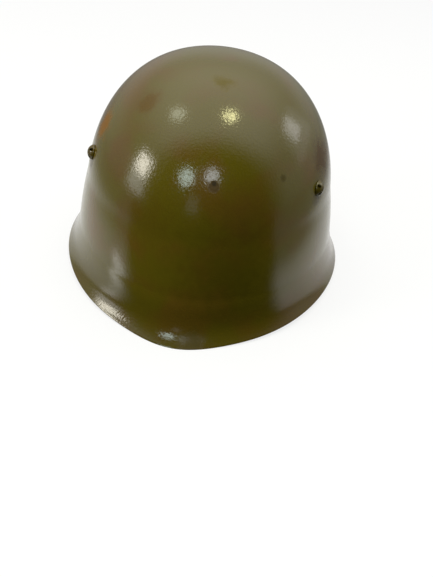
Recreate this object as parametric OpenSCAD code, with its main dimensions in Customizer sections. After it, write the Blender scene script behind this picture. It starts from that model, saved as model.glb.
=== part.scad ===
// Pressed steel combat helmet: three vent rivets, a leather liner on a steel band and a two-part chin strap.
// The brow faces -Y, +Z is up and the rim rests on the table at Z = 0.
// Left and right are the wearer's, so left is +X.

/* [Shell] */
// Height of the outside of the crown above the table
shell_h = 164.5; // [156:0.5:174]
// Thickness of the pressed steel
shell_t = 1.2; // [0.9:0.1:1.8]
// Height of the shoulder, above which the dome closes in
shoulder_z = 34.5; // [30:0.5:39]
// Half width of the dome at the shoulder
side_r = 106; // [101:0.5:112]
// Reach of the dome at the shoulder towards the brow
brow_r = 120; // [115:0.5:126]
// Reach of the dome at the shoulder towards the nape
nape_r = 113.5; // [109:0.5:120]
// Fullness of the dome's profile, where 2 is an ellipse
dome_n = 2.3; // [2.1:0.05:2.5]
// Spread of the skirt below the shoulder, as a share of the dome's reach
skirt_spread = 0.07; // [0.04:0.01:0.1]
// How softly the skirt leaves the dome at the shoulder, where 1 is a sharp bend
skirt_n = 1.4; // [1.2:0.05:1.8]
// Height at which the skirt starts to flare
flare_z = 76; // [70:1:84]
// Flare of the rim over the ears
flare_ear = 12.5; // [10:0.5:15]
// Flare of the rim at the brow
flare_brow = 12.5; // [10:0.5:15]
// Flare of the rim at the nape
flare_nape = 13.5; // [11:0.5:16]
// How late the flare comes, where 1 is a straight cone
flare_n = 1.15; // [1:0.05:1.4]
// How far the brow's point stands out
point_out = 5; // [0:0.5:8]
// Half width of the brow's point, in degrees round the rim
point_deg = 13; // [10:1:18]
// How soon the brow's point dies out above the rim
point_n = 2.2; // [1.6:0.1:3]
// Rise of the rim over the temples
arch_h = 6; // [0:0.5:9]
// Where the rim is down on the table again, in degrees from the brow
arch_deg = 130; // [120:5:145]
// How far the edge of the rim turns out
lip_out = 1.6; // [0:0.1:2.5]
// Height over which the edge turns out
lip_h = 11; // [6:0.5:16]

/* [Vent rivets] */
// Height of the shell's surface at the vent rivets
vent_z = 95.5; // [92:0.5:99]
// Place of the side vents, in degrees from the brow
vent_deg = 60; // [56:1:62]
// Diameter of a vent rivet's head
vent_head_d = 11.5; // [10:0.5:14]
// Height of a vent rivet's head above the shell
vent_head_h = 4; // [3.2:0.1:5]
// Thickness of the edge of the head
vent_edge_t = 0.6; // [0.4:0.1:1]
// Wall of the hollow head
vent_wall = 0.9; // [0.7:0.1:1.2]
// Outside diameter of the hollow shank
vent_shank_d = 6.4; // [5.6:0.2:7]
// Bore of the hollow shank
vent_bore_d = 4.6; // [3.6:0.2:5]
// Diameter of the air holes in the head's flank
vent_air_d = 2.4; // [1.6:0.2:2.6]
// Number of air holes in a head
vent_air_n = 4; // [3:1:6]
// Turn of the air holes from straight down the shell, in degrees
vent_air_turn = 45; // [0:5:90]
// Diameter of the spacer between the shell and a band arm
spacer_d = 11; // [9.6:0.2:13]
// Diameter of the washer under the clenched end
washer_d = 12; // [11:0.5:14]
// Thickness of the washer
washer_t = 1; // [0.6:0.1:1.4]
// Diameter of the clenched end
clench_d = 9; // [8:0.5:10]
// Thickness of the clenched end
clench_t = 0.8; // [0.6:0.1:1.2]

/* [Liner band] */
// Room between the inside of the shell and the band arms
arm_gap = 8; // [7:0.5:10]
// Thickness of a band arm
arm_t = 1.2; // [0.8:0.1:1.5]
// Width of a band arm
arm_w = 16; // [14:0.5:18]
// How far an arm reaches above its vent rivet
arm_over = 9; // [8:0.5:12]
// Thickness of the liner band
band_t = 1; // [0.8:0.1:1.3]
// Height of the band's lower edge, read at the shell's surface
band_z = 50; // [47:0.5:52]
// Width of the band
band_w = 20; // [18:0.5:23]
// Diameter of the domed heads of the band's rivets
rivet_head_d = 6; // [5:0.5:7]
// Height of the domed heads
rivet_head_h = 1.5; // [1.2:0.1:2]
// Diameter of the shanks of the small rivets
rivet_shank_d = 3; // [2.6:0.1:3.2]
// Diameter of the small rivets' closed ends
rivet_tail_d = 5; // [4.4:0.2:5.6]
// Thickness of the small rivets' closed ends
rivet_tail_t = 0.8; // [0.6:0.1:0.9]
// Distance of the band's rivets from its edges
rivet_inset = 5; // [4:0.5:6]

/* [Leather liner] */
// Thickness of the felt strip
felt_t = 4; // [3:0.5:5]
// Width of the felt strip
felt_w = 22; // [16:1:24]
// Thickness of the leather
leather_t = 2; // [1.6:0.1:2.6]
// Height of the leather's lower edge, read at the shell's surface
leather_z = 42; // [40:0.5:45]
// Width of the closed ring of the leather below its tongues
leather_w = 30; // [28:1:34]
// Room over the tongues' tips, below the inside of the shell
crown_room = 25; // [22:0.5:28]
// How far up the dome the tongues reach, as a share of its quarter turn
tongue_reach = 0.8; // [0.76:0.01:0.84]
// How much narrower than its root a tongue gets, as a share
tongue_taper = 0.4; // [0.3:0.05:0.5]
// Diameter of the lace hole in each tongue
lace_d = 5; // [4:0.5:6]
// Diameter of the split rivets' heads
split_head_d = 6.5; // [5.5:0.5:7.5]
// Width of the split rivets' shanks and legs
split_w = 2.6; // [2.2:0.1:3]
// Length of each bent leg of a split rivet
split_leg = 6; // [5:0.5:7]
// Thickness of each leg
split_t = 0.8; // [0.6:0.1:1]

/* [Chin strap] */
// Diameter of the wire of the strap rings
wire_d = 2.8; // [2.4:0.1:3.2]
// Height of a strap ring between its bars' middles
ring_h = 16; // [14:0.5:18]
// Radius of the wire's corners, at its middle
wire_corner = 3; // [2.4:0.2:4]
// Width of the strap hangers
hanger_w = 14; // [12:0.5:14.5]
// Thickness of the hangers' steel
hanger_t = 1.2; // [1:0.1:1.5]
// How far a hanger reaches up and down from the middle of the band
hanger_up = 8; // [7:0.5:9]
// Drop of the rolled eye below the middle of the band
hanger_drop = 15; // [13:0.5:17]
// Distance between the two rivets of a hanger
hanger_pitch = 9; // [8:0.5:10]
// Width of the leather straps
strap_w = 15; // [13:0.5:16]
// Thickness of the leather straps
strap_t = 1.8; // [1.5:0.1:2.2]
// Length over which a strap comes down from its ring to the table
strap_fall = 40; // [34:1:44]
// Length of the turned-back end at a ring or at the buckle
strap_fold = 17; // [15:0.5:20]
// How far each strap lies off the middle of the helmet
strap_off = 20; // [17:0.5:24]
// Reach of the buckle's bar from the left ring
buckle_reach = 120; // [114:1:124]
// Length of the buckle between its bars' middles
buckle_l = 16; // [14:0.5:18]
// Diameter of the buckle's roller
roller_d = 5.4; // [4.8:0.2:5.8]
// Thickness of the prong's wire
prong_d = 2; // [1.6:0.1:2.2]
// Width of the prong's hub
prong_hub_w = 4; // [3.2:0.2:4.6]
// Width of the slot in the strap's fold that the prong swings in
prong_slot_w = 5.2; // [5:0.2:6.4]
// Length of the slot from the buckle's bar
prong_slot_l = 7; // [6:0.25:7.5]
// Length of the strap keeper along the strap
keeper_l = 8; // [6:0.5:10]
// Thickness of the keeper's leather
keeper_t = 1.2; // [0.9:0.1:1.2]
// Distance of the keeper's middle from the fold at the buckle
keeper_off = 10; // [9:0.5:12]
// Reach of the right strap before it doubles back
double_reach = 127; // [120:1:130]
// Radius of the bend where the right strap doubles back
double_r = 7; // [6:0.5:8]
// Length of the right strap's end that lies doubled back
double_l = 56; // [50:1:60]
// Diameter of the holes for the prong
punch_d = 3.6; // [3:0.2:4.4]
// Distance between the holes for the prong
punch_pitch = 8; // [7:0.5:9]
// Number of holes for the prong
punch_n = 5; // [3:1:5]

/* [Clearances] */
// Gap at which pressed and riveted pieces lie on each other
seat = 0.15; // [0.1:0.01:0.2]
// Gap between the curved steel and the flat ends of spacers and washers
curve_gap = 0.6; // [0.5:0.05:0.8]
// Radial clearance of a shank in its hole
hole_play = 0.1; // [0.05:0.01:0.15]
// Radial clearance of a bar in an eye or a loop that turns on it
turn_play = 0.08; // [0.05:0.01:0.1]
// Room for the rivets' closed ends between the band and the felt
felt_gap = 1.1; // [1:0.05:1.3]
// Room between the felt and the leather
leather_gap = 0.3; // [0.25:0.05:0.5]
// Room between the strap and the keeper round it
keeper_play = 0.3; // [0.2:0.05:0.5]

/* [Hidden] */
$fn = 48;

steel_paint = "#5d5530";
band_steel = "#6c6b64";
rivet_steel = "#7d7a70";
tan_leather = "#8a5a34";
strap_leather = "#5f3d25";
grey_felt = "#7c7a6c";

// The shell's surface: th goes round it in degrees with the brow at -90, and v goes up it,
// from -1 at the rim through 0 at the shoulder to 1 at the crown.
function from_brow(th) = abs(((th + 90) % 360 + 540) % 360 - 180);
function rim_z(th) = from_brow(th) < arch_deg ? arch_h * pow(sin(180 * from_brow(th) / arch_deg), 2) : 0;
function plan_r(th) =
  1 / sqrt(pow(cos(th) / side_r, 2) + pow(sin(th) / (sin(th) < 0 ? brow_r : nape_r), 2));
function flare(th) = flare_ear * pow(cos(th), 2) + (sin(th) < 0 ? flare_brow : flare_nape) * pow(sin(th), 2);
function point(th) = point_out * exp(-pow(from_brow(th) / point_deg, 2));
function height(th, v) =
  v < 0 ? shoulder_z + (shoulder_z - rim_z(th)) * v
        : shoulder_z + (shell_h - shoulder_z) * pow(sin(90 * v), 2 / dome_n);
function closing(v, z) =
  v < 0 ? 1 + skirt_spread * pow(max(0, shoulder_z - z) / shoulder_z, skirt_n)
        : pow(max(0, cos(90 * v)), 2 / dome_n);
function turned_out(th, z) = lip_out * pow(max(0, 1 - (z - rim_z(th)) / lip_h), 2);
function skin_r(th, v, z) =
  let (k = max(0, (flare_z - z) / (flare_z - rim_z(th))))
  plan_r(th) * closing(v, z) + turned_out(th, z) + flare(th) * pow(k, flare_n) + point(th) * pow(k, point_n);
// The crown's axis lies so that the rim reaches as far forward as it does back
brow_reach = skin_r(-90, -1, 0);
nape_reach = skin_r(90, -1, 0);
crown_y = (brow_reach - nape_reach) / 2;
function skin(th, v) =
  let (z = height(th, v), r = skin_r(th, v, z)) [r * cos(th), crown_y + r * sin(th), z];
function unit(a) = a / norm(a);
eps_th = 0.5;
eps_v = 0.004;
function out_dir(th, v) =
  unit(cross(skin(th + eps_th, v) - skin(th - eps_th, v),
             skin(th, min(1, v + eps_v)) - skin(th, v - eps_v)));
function inset(th, v, depth) = skin(th, v) - depth * out_dir(th, v);
function v_at(z) = asin(pow((z - shoulder_z) / (shell_h - shoulder_z), dome_n / 2)) / 90;

// Depths below the shell's outer surface, one behind the other
arm_depth = shell_t + arm_gap;
band_depth = arm_depth + arm_t + seat;
felt_depth = band_depth + band_t + felt_gap;
leather_depth = felt_depth + felt_t + leather_gap;
leather_end = leather_depth + leather_t;
tip_depth = shell_t + crown_room;

side_vents = [-90 + vent_deg, -90 - vent_deg];
rear_vent = 90;
vents = [side_vents[0], side_vents[1], rear_vent];
band_mid = band_z + band_w / 2;
band_rivet_zs = [band_z + rivet_inset, band_z + band_w - rivet_inset];

// Faces of a plate between two skins, each a grid of nu by nv points. A wrapped plate is a ring.
function plate_faces(nu, nv, wrapped, open_top = false) =
  let (n = nu * nv, cells = wrapped ? nu : nu - 1, top = (nv - 1) * nu)
  concat(
    [for (i = [0:cells - 1], j = [0:nv - 2])
      let (a = j * nu + i, b = j * nu + (i + 1) % nu, c = b + nu, d = a + nu)
      each [[a, d, c], [a, c, b], [n + a, n + c, n + d], [n + a, n + b, n + c]]],
    [for (i = [0:cells - 1]) let (a = i, b = (i + 1) % nu) each [[a, b, n + b], [a, n + b, n + a]]],
    open_top ? [] :
    [for (i = [0:cells - 1])
      let (a = top + i, b = top + (i + 1) % nu) each [[a, n + b, b], [a, n + a, n + b]]],
    wrapped ? [] :
    [for (j = [0:nv - 2])
      let (a = j * nu, d = a + nu, b = a + nu - 1, c = d + nu - 1)
      each [[d, a, n + a], [d, n + a, n + d], [b, c, n + c], [b, n + c, n + b]]]
  );

// Places its children on the shell's surface, with +Z outwards and +X down the shell
module on_shell(th, v) {
  n = out_dir(th, v);
  translate(skin(th, v)) rotate([0, acos(n[2]), atan2(n[1], n[0])]) children();
}

// A ring that follows the shell at a depth, from one height of the shell's surface to another
ring_steps = 60;
module shell_ring(depth, t, z0, z1, rows) {
  ths = [for (i = [0:ring_steps - 1]) 360 * i / ring_steps];
  vs = [for (j = [0:rows]) v_at(z0 + (z1 - z0) * j / rows)];
  polyhedron(
    points = [for (d = [depth, depth + t], v = vs, th = ths) inset(th, v, d)],
    faces = plate_faces(ring_steps, rows + 1, true));
}

// A domed rivet head on the plane z = 0, with its top towards +Z
module dome(d, h, edge) {
  r = (pow(d / 2, 2) + pow(h - edge, 2)) / (2 * (h - edge));
  intersection() {
    cylinder(d = d, h = h);
    translate([0, 0, h - r]) sphere(r = r);
  }
}

// A small rivet with its head on z = 0 and its closed end past a grip
head_edge = 0.3;
module small_rivet(grip) {
  dome(rivet_head_d, rivet_head_h, head_edge);
  translate([0, 0, -grip - rivet_tail_t / 2])
    cylinder(d = rivet_shank_d, h = grip + rivet_tail_t / 2 + head_edge);
  translate([0, 0, -grip - rivet_tail_t]) cylinder(d = rivet_tail_d, h = rivet_tail_t);
}
rivet_hole_d = rivet_shank_d + 2 * hole_play;
hole_l = 12;
module rivet_hole(d = rivet_hole_d) {
  cylinder(d = d, h = hole_l, center = true);
}

// Pressed shell
shell_steps = 72;
skirt_rows = 5;
dome_rows = 14;
shell_vs = concat(
  [for (s = [0:skirt_rows - 1]) -1 + pow(s / skirt_rows, 1.5)],
  [for (s = [0:dome_rows - 1]) s / (dome_rows - 0.3)]);
vent_hole_d = vent_shank_d + 2 * hole_play;
module shell() {
  ths = [for (i = [0:shell_steps - 1]) 360 * i / shell_steps];
  nv = len(shell_vs);
  n = shell_steps * nv;
  last = n - shell_steps;
  outer = [for (v = shell_vs, th = ths) skin(th, v)];
  inner = [for (j = [0:nv - 1], th = ths)
    let (p = inset(th, shell_vs[j], shell_t)) j == 0 ? [p[0], p[1], rim_z(th)] : p];
  crown = [[0, crown_y, shell_h], [0, crown_y, shell_h - shell_t]];
  caps = [for (i = [0:shell_steps - 1])
    let (a = last + i, b = last + (i + 1) % shell_steps)
    each [[a, 2 * n, b], [n + a, n + b, 2 * n + 1]]];
  color(steel_paint)
  difference() {
    polyhedron(
      points = concat(outer, inner, crown),
      faces = concat(plate_faces(shell_steps, nv, true, true), caps));
    for (th = vents) on_shell(th, v_at(vent_z)) rivet_hole(vent_hole_d);
  }
}

// Hollow vent rivet: domed head with air holes, shank through shell, spacer and arm, clenched on a washer
clench_z = -(arm_depth + arm_t + curve_gap + washer_t + seat);
module vent_rivet(th) {
  cap_r = (pow(vent_head_d / 2, 2) + pow(vent_head_h - vent_edge_t, 2)) / (2 * (vent_head_h - vent_edge_t));
  air_z = (vent_head_h + vent_edge_t) / 2 - vent_edge_t / 3;
  color(steel_paint)
  on_shell(th, v_at(vent_z))
  difference() {
    union() {
      dome(vent_head_d, vent_head_h, vent_edge_t);
      translate([0, 0, clench_z - clench_t / 2])
        cylinder(d = vent_shank_d, h = vent_edge_t - clench_z + clench_t / 2);
      translate([0, 0, clench_z - clench_t]) cylinder(d = clench_d, h = clench_t);
    }
    translate([0, 0, clench_z - 2 * clench_t]) cylinder(d = vent_bore_d, h = vent_head_h / 2 - clench_z);
    intersection() {
      translate([0, 0, vent_head_h - cap_r]) sphere(r = cap_r - vent_wall);
      translate([0, 0, vent_edge_t]) cylinder(d = vent_head_d, h = vent_head_h);
    }
    for (i = [0:vent_air_n - 1])
      rotate([0, 90, vent_air_turn + 360 * i / vent_air_n])
      translate([-air_z, 0, vent_bore_d / 4]) cylinder(d = vent_air_d, h = vent_head_d, $fn = 24);
  }
}
module left_vent_rivet() vent_rivet(vents[0]);
module right_vent_rivet() vent_rivet(vents[1]);
module rear_vent_rivet() vent_rivet(vents[2]);

// Tube that holds a band arm off the shell
module vent_spacer(th) {
  color(band_steel)
  on_shell(th, v_at(vent_z))
  translate([0, 0, seat - arm_depth])
  difference() {
    cylinder(d = spacer_d, h = arm_gap - seat - curve_gap);
    cylinder(d = vent_hole_d, h = 3 * arm_gap, center = true);
  }
}
module left_vent_spacer() vent_spacer(vents[0]);
module right_vent_spacer() vent_spacer(vents[1]);
module rear_vent_spacer() vent_spacer(vents[2]);

module vent_washers() {
  color(rivet_steel)
  for (th = vents)
    on_shell(th, v_at(vent_z))
    translate([0, 0, -arm_depth - arm_t - curve_gap - washer_t])
    difference() {
      cylinder(d = washer_d, h = washer_t);
      rivet_hole(vent_hole_d);
    }
}

// Spring steel arm from the band up to a vent rivet
arm_rows = 10;
arm_cols = 4;
module band_arm(th) {
  zs = [for (j = [0:arm_rows]) band_z + 1 + (vent_z + arm_over - band_z - 1) * j / arm_rows];
  function half_deg(z) =
    let (p = inset(th, v_at(z), arm_depth)) arm_w / 2 / norm([p[0], p[1] - crown_y]) * 180 / PI;
  function end_share(j) = j == arm_rows ? 0.55 : j == arm_rows - 1 ? 0.92 : 1;
  color(band_steel)
  difference() {
    polyhedron(
      points = [for (d = [arm_depth, arm_depth + arm_t], j = [0:arm_rows], i = [0:arm_cols])
        inset(th + half_deg(zs[j]) * end_share(j) * (2 * i / arm_cols - 1), v_at(zs[j]), d)],
      faces = plate_faces(arm_cols + 1, arm_rows + 1, false));
    on_shell(th, v_at(vent_z)) translate([0, 0, -arm_depth]) rivet_hole(vent_hole_d);
    for (z = band_rivet_zs) on_shell(th, v_at(z)) translate([0, 0, -arm_depth]) rivet_hole();
  }
}
module left_band_arm() band_arm(vents[0]);
module right_band_arm() band_arm(vents[1]);
module rear_band_arm() band_arm(vents[2]);

// Steel band that carries the leather
tongues = 8;
tongue_deg = 360 / tongues;
split_ths = [for (k = [0:tongues - 1]) tongue_deg * (k + 0.5)];
split_hole_d = split_w + 2 * hole_play;
module liner_band() {
  color(band_steel)
  difference() {
    shell_ring(band_depth, band_t, band_z, band_z + band_w, 3);
    for (th = vents, z = band_rivet_zs) on_shell(th, v_at(z)) translate([0, 0, -band_depth]) rivet_hole();
    for (th = split_ths) on_shell(th, v_at(band_mid)) translate([0, 0, -band_depth]) rivet_hole(split_hole_d);
    for (s = [0, 1], x = hanger_rivet_xs) mirror([s, 0, 0]) on_hanger() translate([x, 0, 0]) rivet_hole();
  }
}

module band_rivets() {
  color(rivet_steel)
  for (th = vents, z = band_rivet_zs)
    on_shell(th, v_at(z)) translate([0, 0, seat - arm_depth]) small_rivet(arm_t + band_t + 3 * seat);
}

// Felt behind the leather
module felt_strip() {
  color(grey_felt)
  difference() {
    shell_ring(felt_depth, felt_t, band_mid - felt_w / 2, band_mid + felt_w / 2, 2);
    for (th = split_ths)
      on_shell(th, v_at(band_mid)) translate([0, 0, -felt_depth]) rivet_hole(split_hole_d);
  }
}

// Leather ring with tongues that rise to the crown, one piece
leather_cols = 6;
ring_rows = 3;
tongue_rows = 7;
leather_rows = ring_rows + tongue_rows;
tip_round = 0.8;
root_v = v_at(leather_z + leather_w);
function leather_v(j) =
  j <= ring_rows ? v_at(leather_z + leather_w * j / ring_rows)
                 : root_v + (tongue_reach - root_v) * (j - ring_rows) / tongue_rows;
function up_tongue(j) = max(0, (j - ring_rows) / tongue_rows);
function leather_at(j) = leather_depth + (tip_depth - leather_depth) * pow(sin(90 * up_tongue(j)), 2);
function tongue_share(s) =
  (1 - tongue_taper * s) * (s < tip_round ? 1 : sqrt(1 - pow((s - tip_round) / (1.06 - tip_round), 2)));
function tongue_th(k, c, j) = tongue_deg * (k + 0.5 + (c / leather_cols - 0.5) * tongue_share(up_tongue(j)));
module leather_liner() {
  per_row = tongues * (leather_cols + 1);
  n = per_row * (leather_rows + 1);
  function at(k, c, j) =
    j <= ring_rows && c == leather_cols ? at((k + 1) % tongues, 0, j)
                                        : j * per_row + k * (leather_cols + 1) + c;
  points = [for (t = [0, leather_t], j = [0:leather_rows], k = [0:tongues - 1], c = [0:leather_cols])
    inset(tongue_th(k, c, j), leather_v(j), leather_at(j) + t)];
  skins = [for (k = [0:tongues - 1], c = [0:leather_cols - 1], j = [0:leather_rows - 1])
    let (a = at(k, c, j), b = at(k, c + 1, j), q = at(k, c + 1, j + 1), d = at(k, c, j + 1))
    each [[a, d, q], [a, q, b], [n + a, n + q, n + d], [n + a, n + b, n + q]]];
  ends = [for (k = [0:tongues - 1], c = [0:leather_cols - 1])
    let (a = at(k, c, 0), b = at(k, c + 1, 0), d = at(k, c, leather_rows), q = at(k, c + 1, leather_rows))
    each [[a, b, n + b], [a, n + b, n + a], [d, n + q, q], [d, n + d, n + q]]];
  sides = [for (k = [0:tongues - 1], j = [ring_rows:leather_rows - 1])
    let (a = at(k, 0, j), d = at(k, 0, j + 1), b = at(k, leather_cols, j), q = at(k, leather_cols, j + 1))
    each [[d, a, n + a], [d, n + a, n + d], [b, q, n + q], [b, n + q, n + b]]];
  lace_row = leather_rows - 1;
  color(tan_leather)
  difference() {
    polyhedron(points = points, faces = concat(skins, ends, sides));
    for (th = split_ths) {
      on_shell(th, v_at(band_mid)) translate([0, 0, -leather_end]) rivet_hole(split_hole_d);
      on_shell(th, leather_v(lace_row)) translate([0, 0, -leather_at(lace_row)]) rivet_hole(lace_d);
    }
  }
}

// Split rivets: domed head on the band, legs bent flat on the leather
split_l = leather_end - band_depth + 3 * seat + split_t;
module split_rivets() {
  color(rivet_steel)
  for (th = split_ths)
    on_shell(th, v_at(band_mid))
    translate([0, 0, seat - band_depth]) {
      dome(split_head_d, rivet_head_h, head_edge);
      translate([0, 0, -split_l]) cylinder(d = split_w, h = split_l + head_edge);
      translate([-split_leg, -split_w / 2, -split_l]) cube([2 * split_leg, split_w, split_t]);
    }
}

// Strap hangers: flat plates on the band with a rolled eye for the ring
bar_r = wire_d / 2;
eye_r = bar_r + turn_play;
hanger_n = unit([out_dir(0, v_at(band_mid))[0], 0, out_dir(0, v_at(band_mid))[2]]);
hanger_lean = asin(hanger_n[2]);
hanger_rivet_xs = [-hanger_pitch / 2, hanger_pitch / 2];
hanger_seat = 2 * seat;
hanger_eye_z = hanger_seat + hanger_t + eye_r;
module bar(r, w) {
  rotate([90, 0, 0]) cylinder(r = r, h = w, center = true);
}
module on_hanger() {
  translate(inset(0, v_at(band_mid), band_depth)) rotate([0, 90 - hanger_lean, 0]) children();
}
module hanger() {
  difference() {
    union() {
      translate([-hanger_up, -hanger_w / 2, hanger_seat]) cube([hanger_up + hanger_drop, hanger_w, hanger_t]);
      translate([hanger_drop, 0, hanger_eye_z]) bar(eye_r + hanger_t, hanger_w);
    }
    translate([hanger_drop, 0, hanger_eye_z]) bar(eye_r, 2 * hanger_w);
    for (x = hanger_rivet_xs) translate([x, 0, 0]) rivet_hole();
  }
}
module left_hanger() color(band_steel) on_hanger() hanger();
module right_hanger() color(band_steel) mirror([1, 0, 0]) on_hanger() hanger();
module hanger_rivets() {
  color(rivet_steel)
  for (s = [0, 1])
    mirror([s, 0, 0]) on_hanger()
    for (x = hanger_rivet_xs)
      translate([x, 0, hanger_seat + hanger_t + seat])
      small_rivet(hanger_seat + hanger_t + band_t + 3 * seat);
}
hanger_foot = inset(0, v_at(band_mid), band_depth);
eye_x = hanger_foot[0] + hanger_drop * sin(hanger_lean) + hanger_eye_z * cos(hanger_lean);
eye_z = hanger_foot[2] - hanger_drop * cos(hanger_lean) + hanger_eye_z * sin(hanger_lean);
bar_z = eye_z - ring_h;

// Closed rectangle of wire in the plane x = 0: w between the side wires' middles, its first bar on the Y axis
module wire_frame(w, h) {
  c = wire_corner;
  for (z = [0, -h]) translate([0, 0, z]) bar(bar_r, w - 2 * c);
  for (y = [-w / 2, w / 2]) translate([0, y, -h + c]) cylinder(r = bar_r, h = h - 2 * c);
  for (q = [0:3])
    translate([0, (q == 0 || q == 3 ? 1 : -1) * (w / 2 - c), q < 2 ? -c : c - h])
    rotate([0, 90, 0]) rotate([0, 0, [90, 180, 270, 0][q]])
    rotate_extrude(angle = 90) translate([c, 0]) circle(r = bar_r);
}
ring_w = strap_w + 2 * bar_r + 2 * wire_corner - 2;
module ring() translate([eye_x, crown_y, eye_z]) wire_frame(ring_w, ring_h);
module left_ring() color(rivet_steel) ring();
module right_ring() color(rivet_steel) mirror([1, 0, 0]) ring();

// Straps, made with h along the strap from the ring's lower bar and their underside as the base line
loop_r = eye_r + strap_t;
aside_start = 0.8 * strap_fall;
aside_end = 2 * strap_fall;
left_under = max(eye_r, keeper_t + keeper_play);
function drop(h, under) =
  h >= strap_fall ? under : under + (bar_z - strap_t - under) * (1 + cos(180 * max(0, h) / strap_fall)) / 2;
function aside(h) =
  let (s = max(0, min(1, (h - aside_start) / (aside_end - aside_start)))) strap_off * s * s * (3 - 2 * s);
function slope(h, under) = atan(drop(h + 0.5, under) - drop(h - 0.5, under));

// Sweeps a strap along a list of [h, z] base points with a thickness and a width at each
module strap_sweep(path, thick, wide, off) {
  m = len(path);
  frames = [for (i = [0:m - 1])
    let (a = path[max(0, i - 1)], b = path[min(m - 1, i + 1)], ay = off * aside(a[0]), by = off * aside(b[0]),
         t = unit([b[0] - a[0], by - ay, b[1] - a[1]]),
         ahead = unit([abs(t[0]) + 0.001, t[1] * (t[0] < 0 ? -1 : 1), 0]),
         side = cross(ahead, [0, 0, 1]), up = unit(cross(side, t)))
    [[path[i][0], off * aside(path[i][0]), path[i][1]], side, up]];
  polyhedron(
    points = [for (k = [1, 0], i = [0:m - 1], s = [-0.5, 0.5])
      frames[i][0] + frames[i][1] * wide[i] * s + frames[i][2] * thick[i] * k],
    faces = plate_faces(2, m, false));
}
fold_step = 0.6;
strap_start = eye_r + strap_t / 3;
fold_hs = [for (i = [0:3]) strap_start + (strap_fold - strap_start) * i / 3];

// Left strap: folded on the ring and on the buckle, with a slot there for the prong
module strap_loop() {
  difference() {
    bar(loop_r, strap_w);
    bar(eye_r, 2 * strap_w);
  }
}
buckle_fold = buckle_reach - strap_fold;
left_hs = concat(
  fold_hs,
  [for (i = [0:11]) strap_fold + fold_step + (buckle_fold - strap_fold - 2 * fold_step) * i / 11],
  [buckle_fold, buckle_reach - strap_start]);
ring_rivet_h = 0.62 * strap_fold;
left_strap_rivet_hs = [ring_rivet_h, buckle_fold + 0.35 * strap_fold];
module at_left_ring() translate([eye_x, crown_y, 0]) mirror([1, 0, 0]) children();
module strap_hole(h, under, off) {
  translate([h, off * aside(h), drop(h, under)]) rotate([0, -slope(h, under), 0]) rivet_hole();
}
module left_strap() {
  m = len(left_hs);
  color(strap_leather)
  at_left_ring()
  difference() {
    union() {
      strap_sweep([for (h = left_hs) [h, drop(h, left_under)]],
                  [for (h = left_hs) h <= strap_fold || h >= buckle_fold ? 2 * strap_t : strap_t],
                  [for (h = left_hs) strap_w], -1);
      translate([0, 0, bar_z]) strap_loop();
      translate([buckle_reach, -strap_off, left_under + strap_t]) strap_loop();
    }
    translate([buckle_reach - prong_slot_l, -strap_off - prong_slot_w / 2, -1])
      cube([3 * prong_slot_l, prong_slot_w, 4 * loop_r]);
    for (h = left_strap_rivet_hs) strap_hole(h, left_under, -1);
  }
}
strap_grip = 2 * strap_t + 4 * seat;
module strap_rivet_at(h, under, off) {
  translate([h, off * aside(h), drop(h, under)]) rotate([0, -slope(h, under), 0])
  translate([0, 0, 2 * strap_t + 2 * seat]) small_rivet(strap_grip);
}
module left_strap_rivets() {
  color(rivet_steel) at_left_ring() for (h = left_strap_rivet_hs) strap_rivet_at(h, left_under, -1);
}

// Keeper: a leather loop that slides on the left strap
module strap_keeper() {
  inner_h = 2 * strap_t + 2 * keeper_play;
  inner_w = strap_w + 2 * keeper_play;
  color(strap_leather)
  at_left_ring()
  translate([buckle_fold - keeper_off, -strap_off, left_under - keeper_play - keeper_t])
  difference() {
    translate([-keeper_l / 2, -inner_w / 2 - keeper_t, 0])
      cube([keeper_l, inner_w + 2 * keeper_t, inner_h + 2 * keeper_t]);
    translate([-keeper_l, -inner_w / 2, keeper_t]) cube([2 * keeper_l, inner_w, inner_h]);
  }
}

// Buckle: wire frame, roller on its far bar and prong on its near bar
buckle_z = left_under + strap_t;
module at_buckle() at_left_ring() translate([buckle_reach, -strap_off, buckle_z]) children();
module buckle_frame() color(rivet_steel) at_buckle() rotate([0, -90, 0]) wire_frame(ring_w, buckle_l);
module buckle_roller() {
  w = ring_w - 2 * wire_corner - 2 * keeper_play;
  color(rivet_steel)
  at_buckle() translate([buckle_l, 0, 0])
  difference() {
    bar(roller_d / 2, w);
    bar(eye_r, 2 * w);
  }
}
prong_rise = roller_d / 2 + prong_d / 2 + seat;
prong_l = norm([buckle_l, prong_rise]);
module buckle_prong() {
  hub_r = eye_r + prong_d / 2;
  color(rivet_steel)
  at_buckle()
  difference() {
    union() {
      bar(hub_r, prong_hub_w);
      rotate([0, 90 - asin(prong_rise / prong_l), 0])
        translate([0, 0, eye_r + prong_d / 4])
        cylinder(d = prong_d, h = prong_l - eye_r + prong_d / 2);
    }
    bar(eye_r, 2 * prong_hub_w);
  }
}

// Right strap: folded on the ring, doubled back on itself, with holes for the prong
bend_steps = 8;
back_steps = 8;
back_low = 2 * strap_t + 0.8;
function back_z(x) = back_low + (2 * double_r - back_low) * (1 + cos(180 * min(1, x / double_l))) / 2;
lying_l = double_reach - strap_fold - fold_step;
tip_l = 5;
right_path = concat(
  [for (h = fold_hs) [h, drop(h, 0)]],
  [for (i = [0:12]) let (h = double_reach - lying_l * (1 - i / 12)) [h, drop(h, 0)]],
  [for (i = [1:bend_steps])
    let (a = 180 * i / bend_steps) [double_reach + double_r * sin(a), double_r * (1 - cos(a))]],
  [for (i = [1:back_steps]) let (x = double_l * i / back_steps) [double_reach - x, back_z(x)]],
  [for (x = [double_l + 0.6 * tip_l, double_l + tip_l]) [double_reach - x, back_z(x)]]);
right_n = len(right_path);
function tip_share(i) = i == right_n - 1 ? 0.45 : i == right_n - 2 ? 0.8 : 1;
punch_first = double_l - punch_pitch;
module at_right_ring() translate([-eye_x, crown_y, 0]) children();
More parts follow.
